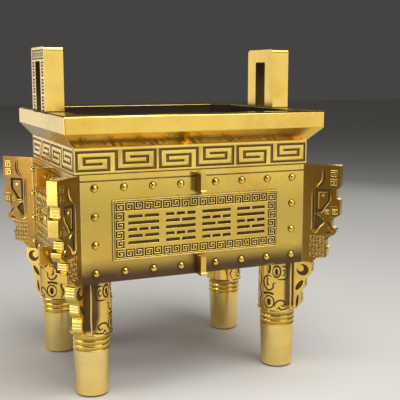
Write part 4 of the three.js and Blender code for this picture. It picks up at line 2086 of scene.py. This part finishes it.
    def sunk(self) -> list[tuple[Sequence[Point], float]]:
        """The sunk lines of one side.

        Returns:
            Lines round the leg from its nose and below the body, each with its radius, in millimetres.
        """
        eye, cheek = (23.1, -8.6), (29.9, -37.0)
        lid_head = [(19.4, -4.4), (16.4, -3.8), (13.4, -5.2), (13.0, -10.4)]
        lid_foot = [(13.6, -15.0), (18.0, -15.8), (22.4, -15.8)]
        corner = [(18.2, -7.6), (16.2, -7.4), (15.4, -9.6), (16.4, -12.0), (18.4, -11.4)]
        temple = [(29.6, -1.6), (29.3, -6.0), (30.2, -10.6)]
        curl_head = [(27.6, -13.4), (30.8, -12.6), (34.4, -14.8), (35.6, -19.6), (33.6, -24.2)]
        curl_foot = [(29.4, -26.0), (26.2, -23.4), (26.0, -20.0), (23.6, -18.6)]
        curl_heart = [(31.4, -16.8), (31.8, -20.0), (29.8, -21.8)]
        bar = [(25.6, -29.4), (30.5, -28.6), (35.8, -29.6)]
        jaw_head = [(24.6, -41.6), (23.6, -37.6), (20.6, -35.4), (16.6, -35.8)]
        jaw_foot = [(14.8, -38.4), (16.6, -40.6), (18.8, -39.6)]
        chin = [(22.8, -44.6), (20.6, -41.6), (19.2, -43.8), (15.0, -43.6), (11.2, -42.6), (9.6, -44.6)]
        wave_head = [(38.8, -5.0), (40.4, -12.0), (38.6, -18.0), (41.2, -25.0)]
        wave_foot = [(39.0, -32.0), (41.6, -38.0), (39.4, -44.0)]
        back_head = [(46.0, -6.0), (44.2, -11.0), (46.6, -17.0)]
        back_foot = [(44.6, -24.0), (47.0, -31.0), (45.0, -40.0)]
        return [
            (self.oval(eye, 3.6, 5.3), 0.75),
            (self.oval(eye, 0.5, 1.9), 1.0),
            (curved([*lid_head, *lid_foot]), 0.8),
            (curved(corner), 0.65),
            (curved(temple), 1.1),
            (curved([*curl_head, *curl_foot]), 0.8),
            (curved(curl_heart), 0.8),
            (curved(bar), 1.1),
            (self.oval(cheek, 4.9, 5.6), 0.75),
            (self.oval(cheek, 0.7, 2.0), 1.3),
            (curved([*jaw_head, *jaw_foot]), 0.8),
            (curved(chin), 0.7),
            (curved([*wave_head, *wave_foot]), 0.85),
            (curved([*back_head, *back_foot]), 0.85),
        ]

    def raised(self) -> list[tuple[Sequence[Point], float]]:
        """The raised lines of one side.

        Returns:
            Lines round the leg from its nose and below the body, each with its radius, in millimetres.
        """
        eye = (23.1, -8.6)
        beside_plate = [(8.9, -1.5), (9.3, -15.0), (8.9, -30.0), (9.2, -45.0)]
        bead = [(31.2, -15.4), (31.6, -15.9), (31.2, -16.4)]
        foot_band = [(5.0 + 2.0 * i, -45.6) for i in range(50)]
        return [
            (self.oval(eye, 2.3, 3.9), 0.6),
            (curved(beside_plate), 0.9),
            (bead, 1.3),
            (foot_band, 0.9),
        ]

    @staticmethod
    def oval(centre: Point, across: float, up: float) -> list[Point]:
        """An oval line that meets its own start.

        Args:
            centre: Its middle.
            across: Its half width.
            up: Its half height.

        Returns:
            The line.
        """
        count = 20
        angles = [math.tau * i / count for i in range(count + 1)]
        return [(centre[0] + across * math.cos(a), centre[1] + up * math.sin(a)) for a in angles]

    def scrolls(self, lines: Sequence[tuple[Sequence[Point], float]], rise: float) -> list[bpy.types.Object]:
        """Lines wrapped round both sides of the leg, in mirrored pairs.

        Args:
            lines: The lines, in millimetres round the leg from its nose and below the body.
            rise: How far their middle stands off the leg.

        Returns:
            The lines as round bars.
        """
        s = self.casting.sizes
        made = []
        for sign in (-1.0, 1.0):
            for line, thick in lines:
                path = [(sign * x * MM, s.body_bottom + z * MM) for x, z in line]
                made.append(self.wrapped(path, thick * MM, rise))
        return made

    def wrapped(self, points: Sequence[Point], thick: float, rise: float) -> bpy.types.Object:
        """A line on the leg's round side.

        Args:
            points: Distance round the leg and height.
            thick: The line's radius.
            rise: How far its middle stands off the leg.

        Returns:
            The line as a round bar.
        """
        radius = self.casting.sizes.leg_radius
        out = radius + rise
        path = [(out * math.cos(x / radius), out * math.sin(x / radius), z) for x, z in points]
        return Bench.wire(path, thick, taper=thick < MM)


@dataclass
class Ears:
    """The two upright handles on the rim, cast apart and brazed on."""

    casting: Casting
    thickness: float = 16.0 * MM
    width: float = 51.0 * MM
    height: float = 53.4 * MM
    setback: float = 0.4 * MM
    hole: float = 18.9 * MM
    bar: float = 11.6 * MM
    corner: float = 2.8 * MM
    braze_gap: float = 0.3 * MM
    fret_depth: float = 0.9 * MM
    fret_cell: float = 1.15 * MM
    fret_divider: float = 1.2 * MM
    fret_drop: float = 0.4 * MM
    bar_pair: float = 15.5 * MM
    leg_pair: float = 13.4 * MM
    leg_pitch: float = 14.3 * MM
    leg_start: float = 6.5 * MM
    ease: float = 1.2 * MM
    slot_margin: float = 0.3 * MM
    braze: float = 0.75 * MM

    def build(self) -> None:
        """Models one ear and sets a copy on each end of the rim."""
        s = self.casting.sizes
        model = self.one(s.rim_top_height + self.braze_gap)
        for side in (Side.LEFT, Side.RIGHT):
            ear = Bench.copy(model)
            ear.location.y = -(s.rim_half[0] - self.setback - self.thickness / 2)
            Bench.turned(Bench.settle(ear), side.value)
            self.casting.keep(ear, f"{side.name.lower()}_handle", f"{side.name.lower()}_ear")
        bpy.data.objects.remove(model)

    def one(self, base: float) -> bpy.types.Object:
        """An ear in X and Z, its outer face towards -Y.

        Args:
            base: Height of the ear's foot.

        Returns:
            The ear.
        """
        half, slot, top = self.width / 2, self.hole / 2, base + self.height
        under = top - self.bar
        outline = [
            (-half, base),
            (-slot, base),
            (-slot, under),
            (slot, under),
            (slot, base),
            (half, base),
            (half, top),
            (-half, top),
        ]
        foot, arch, head = 0.3 * MM, 1.2 * MM, self.corner
        radii = [foot, foot, arch, arch, foot, foot, head, head]
        shape = []
        for i, (corner, radius) in enumerate(zip(outline, radii)):
            trio = [outline[i - 1], corner, outline[(i + 1) % len(outline)]]
            shape += rounded(trio, radius * 1.4)[5:10]
        ear = Bench.eased(Bench.plate([shape], self.thickness), self.ease, 4)
        holes = [[hole] for hole in self.fret(base, top, slot, half)]
        c = self.casting
        cutters = Bench.cutters(holes, self.thickness / 2, self.fret_depth, (-1.0,))
        Bench.carve(ear, cutters, (c.bright, c.ground))
        margin = self.slot_margin

        def in_slot(face: bpy.types.MeshPolygon) -> bool:
            """Whether a face is in the slot."""
            return abs(face.center.x) < slot + margin and face.center.z < under + margin

        Bench.dressed(ear, c.ground, in_slot)
        middle, wide, low = (half + slot) / 2, (half - slot) / 2, base - self.braze_gap / 2
        trim = Bench.joined([self.seam(sign * middle, low, wide) for sign in (-1.0, 1.0)])
        Bench.painted(trim, (c.ground,))
        return Bench.smooth(Bench.joined([ear, trim]), 30.0)

    def fret(self, base: float, top: float, slot: float, half: float) -> list[list[Point]]:
        """Fret pairs across the top bar and down both legs.

        Args:
            base: Height of the ear's foot.
            top: Height of its top.
            slot: Half the width of its slot.
            half: Half its own width.

        Returns:
            The grooves' outlines.
        """
        cell, divider = self.fret_cell, self.fret_divider
        fret = Fret(2 * cell, 2 * cell, cell, cell)
        middle = top - self.bar / 2 - self.fret_drop
        found = [fret.pair((i * self.bar_pair, middle), self.bar_pair, divider) for i in (-1, 0, 1)]
        for sign in (-1.0, 1.0):
            for row in range(3):
                centre = (sign * (slot + half) / 2, base + self.leg_start + row * self.leg_pitch)
                found.append(fret.pair(centre, self.leg_pair, divider, True))
        return found

    def seam(self, centre: float, z: float, half: float) -> bpy.types.Object:
        """The rough braze round one foot of an ear.

        Args:
            centre: The foot's middle along X.
            z: The braze's height.
            half: Half the foot's width.

        Returns:
            The braze as a closed ring.
        """
        deep = self.thickness / 2
        points = [(-half, -deep), (half, -deep), (half, deep), (-half, deep)]
        ring = rounded(points, 1.5 * MM, 4)
        return Bench.wire([(centre + x, y, z) for x, y in ring], self.braze, closed=True)


@dataclass(frozen=True)
class Softbox:
    """A soft area light: where it stands, its width and height, and its power in watts."""

    place: tuple[float, float, float]
    size: Point
    power: float

    def build(self) -> None:
        """Adds the light, looking at the vessel."""
        aim = Vector((0.0, 0.0, min(self.place[2], 0.15))) - Vector(self.place)
        turn = aim.to_track_quat("-Z", "Y").to_euler()
        bpy.ops.object.light_add(type="AREA", location=self.place, rotation=turn)
        light = bpy.context.object.data
        light.shape = "RECTANGLE"
        light.size, light.size_y = self.size
        light.energy = self.power


@dataclass
class Studio:
    """Camera, floor and lights."""

    place: tuple[float, float, float] = (-0.2562, -0.6815, 0.2673)
    tilt: float = 80.86
    turn: float = -23.19
    lens: float = 71.34
    sensor: float = 36.0
    floor_size: float = 12.0
    paper: Colour = (0.80, 0.78, 0.74)
    paper_rough: float = 0.9
    air: Colour = (0.6, 0.58, 0.55)
    air_strength: float = 0.1
    left: Softbox = Softbox((-0.86, 0.0, 0.3), (0.56, 0.56), 3.4)
    front: Softbox = Softbox((0.52, -1.2, 0.38), (1.2, 0.76), 2.8)
    back: Softbox = Softbox((-0.62, 1.2, 0.38), (1.2, 0.76), 2.6)
    right: Softbox = Softbox((0.9, 0.7, 0.5), (0.5, 0.5), 0.8)
    top: Softbox = Softbox((0.12, -0.28, 0.95), (0.8, 0.8), 8.6)

    def build(self) -> None:
        """Sets the camera, the floor and the lights."""
        self.camera()
        self.floor()
        self.world()
        for light in (self.left, self.front, self.back, self.right, self.top):
            light.build()

    def camera(self) -> None:
        """The photograph's camera."""
        bpy.ops.object.camera_add(
            location=self.place,
            rotation=(math.radians(self.tilt), 0.0, math.radians(self.turn)),
        )
        camera = bpy.context.object
        camera.data.lens = self.lens
        camera.data.sensor_width = self.sensor
        bpy.context.scene.camera = camera

    def floor(self) -> None:
        """A plain pale floor."""
        bpy.ops.mesh.primitive_plane_add(size=self.floor_size, location=(0.0, 0.0, 0.0))
        floor = bpy.context.object
        floor.name = "floor"
        graph = Graph("floor_paper")
        inputs = {"Base Color": self.paper, "Roughness": self.paper_rough}
        shader = graph.node("ShaderNodeBsdfPrincipled", inputs=inputs)
        out = graph.node("ShaderNodeOutputMaterial")
        graph.tree.links.new(shader.outputs[0], out.inputs["Surface"])
        floor.data.materials.append(graph.material)

    def world(self) -> None:
        """A dim grey world, and colours shown as they are."""
        world = bpy.data.worlds.new("studio")
        bpy.context.scene.world = world
        world.use_nodes = True
        background = world.node_tree.nodes["Background"]
        background.inputs["Color"].default_value = (*self.air, 1.0)
        background.inputs["Strength"].default_value = self.air_strength
        bpy.context.scene.view_settings.view_transform = "Standard"


def cast(sizes: Sizes) -> Casting:
    """Makes the finishes and hands them to the casting.

    Args:
        sizes: The vessel's sizes.

    Returns:
        The casting, without any piece yet.
    """
    bright = Brass("polished_brass")
    # Body brass: a darker copy of the metal as painted shade, a wide reach that paints shade round bosses,
    # fins and under the rim besides groove patina, and a painted dark reflection along the foot.
    body = BodyBrass("body_brass", metal=(0.85, 0.60, 0.12), reach=5.5 * MM, open_to=0.14, closed_at=0.75)
    carved = Brass("carved_brass", roughness=0.2, closed_at=0.7)
    # A darker copy of the brass for flange sides and fin sides: painted shade and dark reflection.
    shaded = Brass(
        "shaded_brass",
        metal=(0.44, 0.25, 0.035),
        warm=(0.36, 0.17, 0.015),
        roughness=0.22,
        tarnish=0.2,
        smoky=0.3,
    )
    neck = Brass("neck_patina", patina=(0.21, 0.115, 0.03), tarnish=0.8, roughness=0.35, edge_wear_and_highlight=0.0)
    ground = Brass("groove_patina", patina=(0.06, 0.027, 0.007), tarnish=0.88, roughness=0.4, edge_wear_and_highlight=0.0)
    inside = Brass("inside_patina", patina=(0.032, 0.016, 0.006), tarnish=1.0, roughness=0.5)
    # A brighter copy of the brass for the feet: painted bright reflection.
    feet = Brass("foot_brass", metal=(0.99, 0.77, 0.30), warm=(0.96, 0.68, 0.18), roughness=0.2, streak=0.1)
    # Leg brass: a wide reach that paints shade round raised parts besides groove patina, and a painted dark
    # reflection beside the lobed plates.
    legs = LegBrass("leg_brass", reach=8.0 * MM, open_to=0.14, closed_at=0.75, sizes=sizes)
    finishes = (bright, body, carved, shaded, neck, ground, inside, feet, legs)
    return Casting(sizes, *(finish.material() for finish in finishes))


def main() -> None:
    """Builds the ding piece by piece."""
    logging.basicConfig(level=logging.INFO, format="%(name)s: %(message)s")
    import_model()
    casting = cast(Sizes())
    tablets = Tablets(casting)
    parts = (
        Shell(casting),
        NeckFret(casting),
        tablets,
        Masks(casting, tablets),
        Bosses(casting),
        Fins(casting),
        Flanges(casting),
        Legs(casting),
        Ears(casting),
        Studio(),
    )
    for part in parts:
        part.build()


if __name__ == "__main__":
    main()
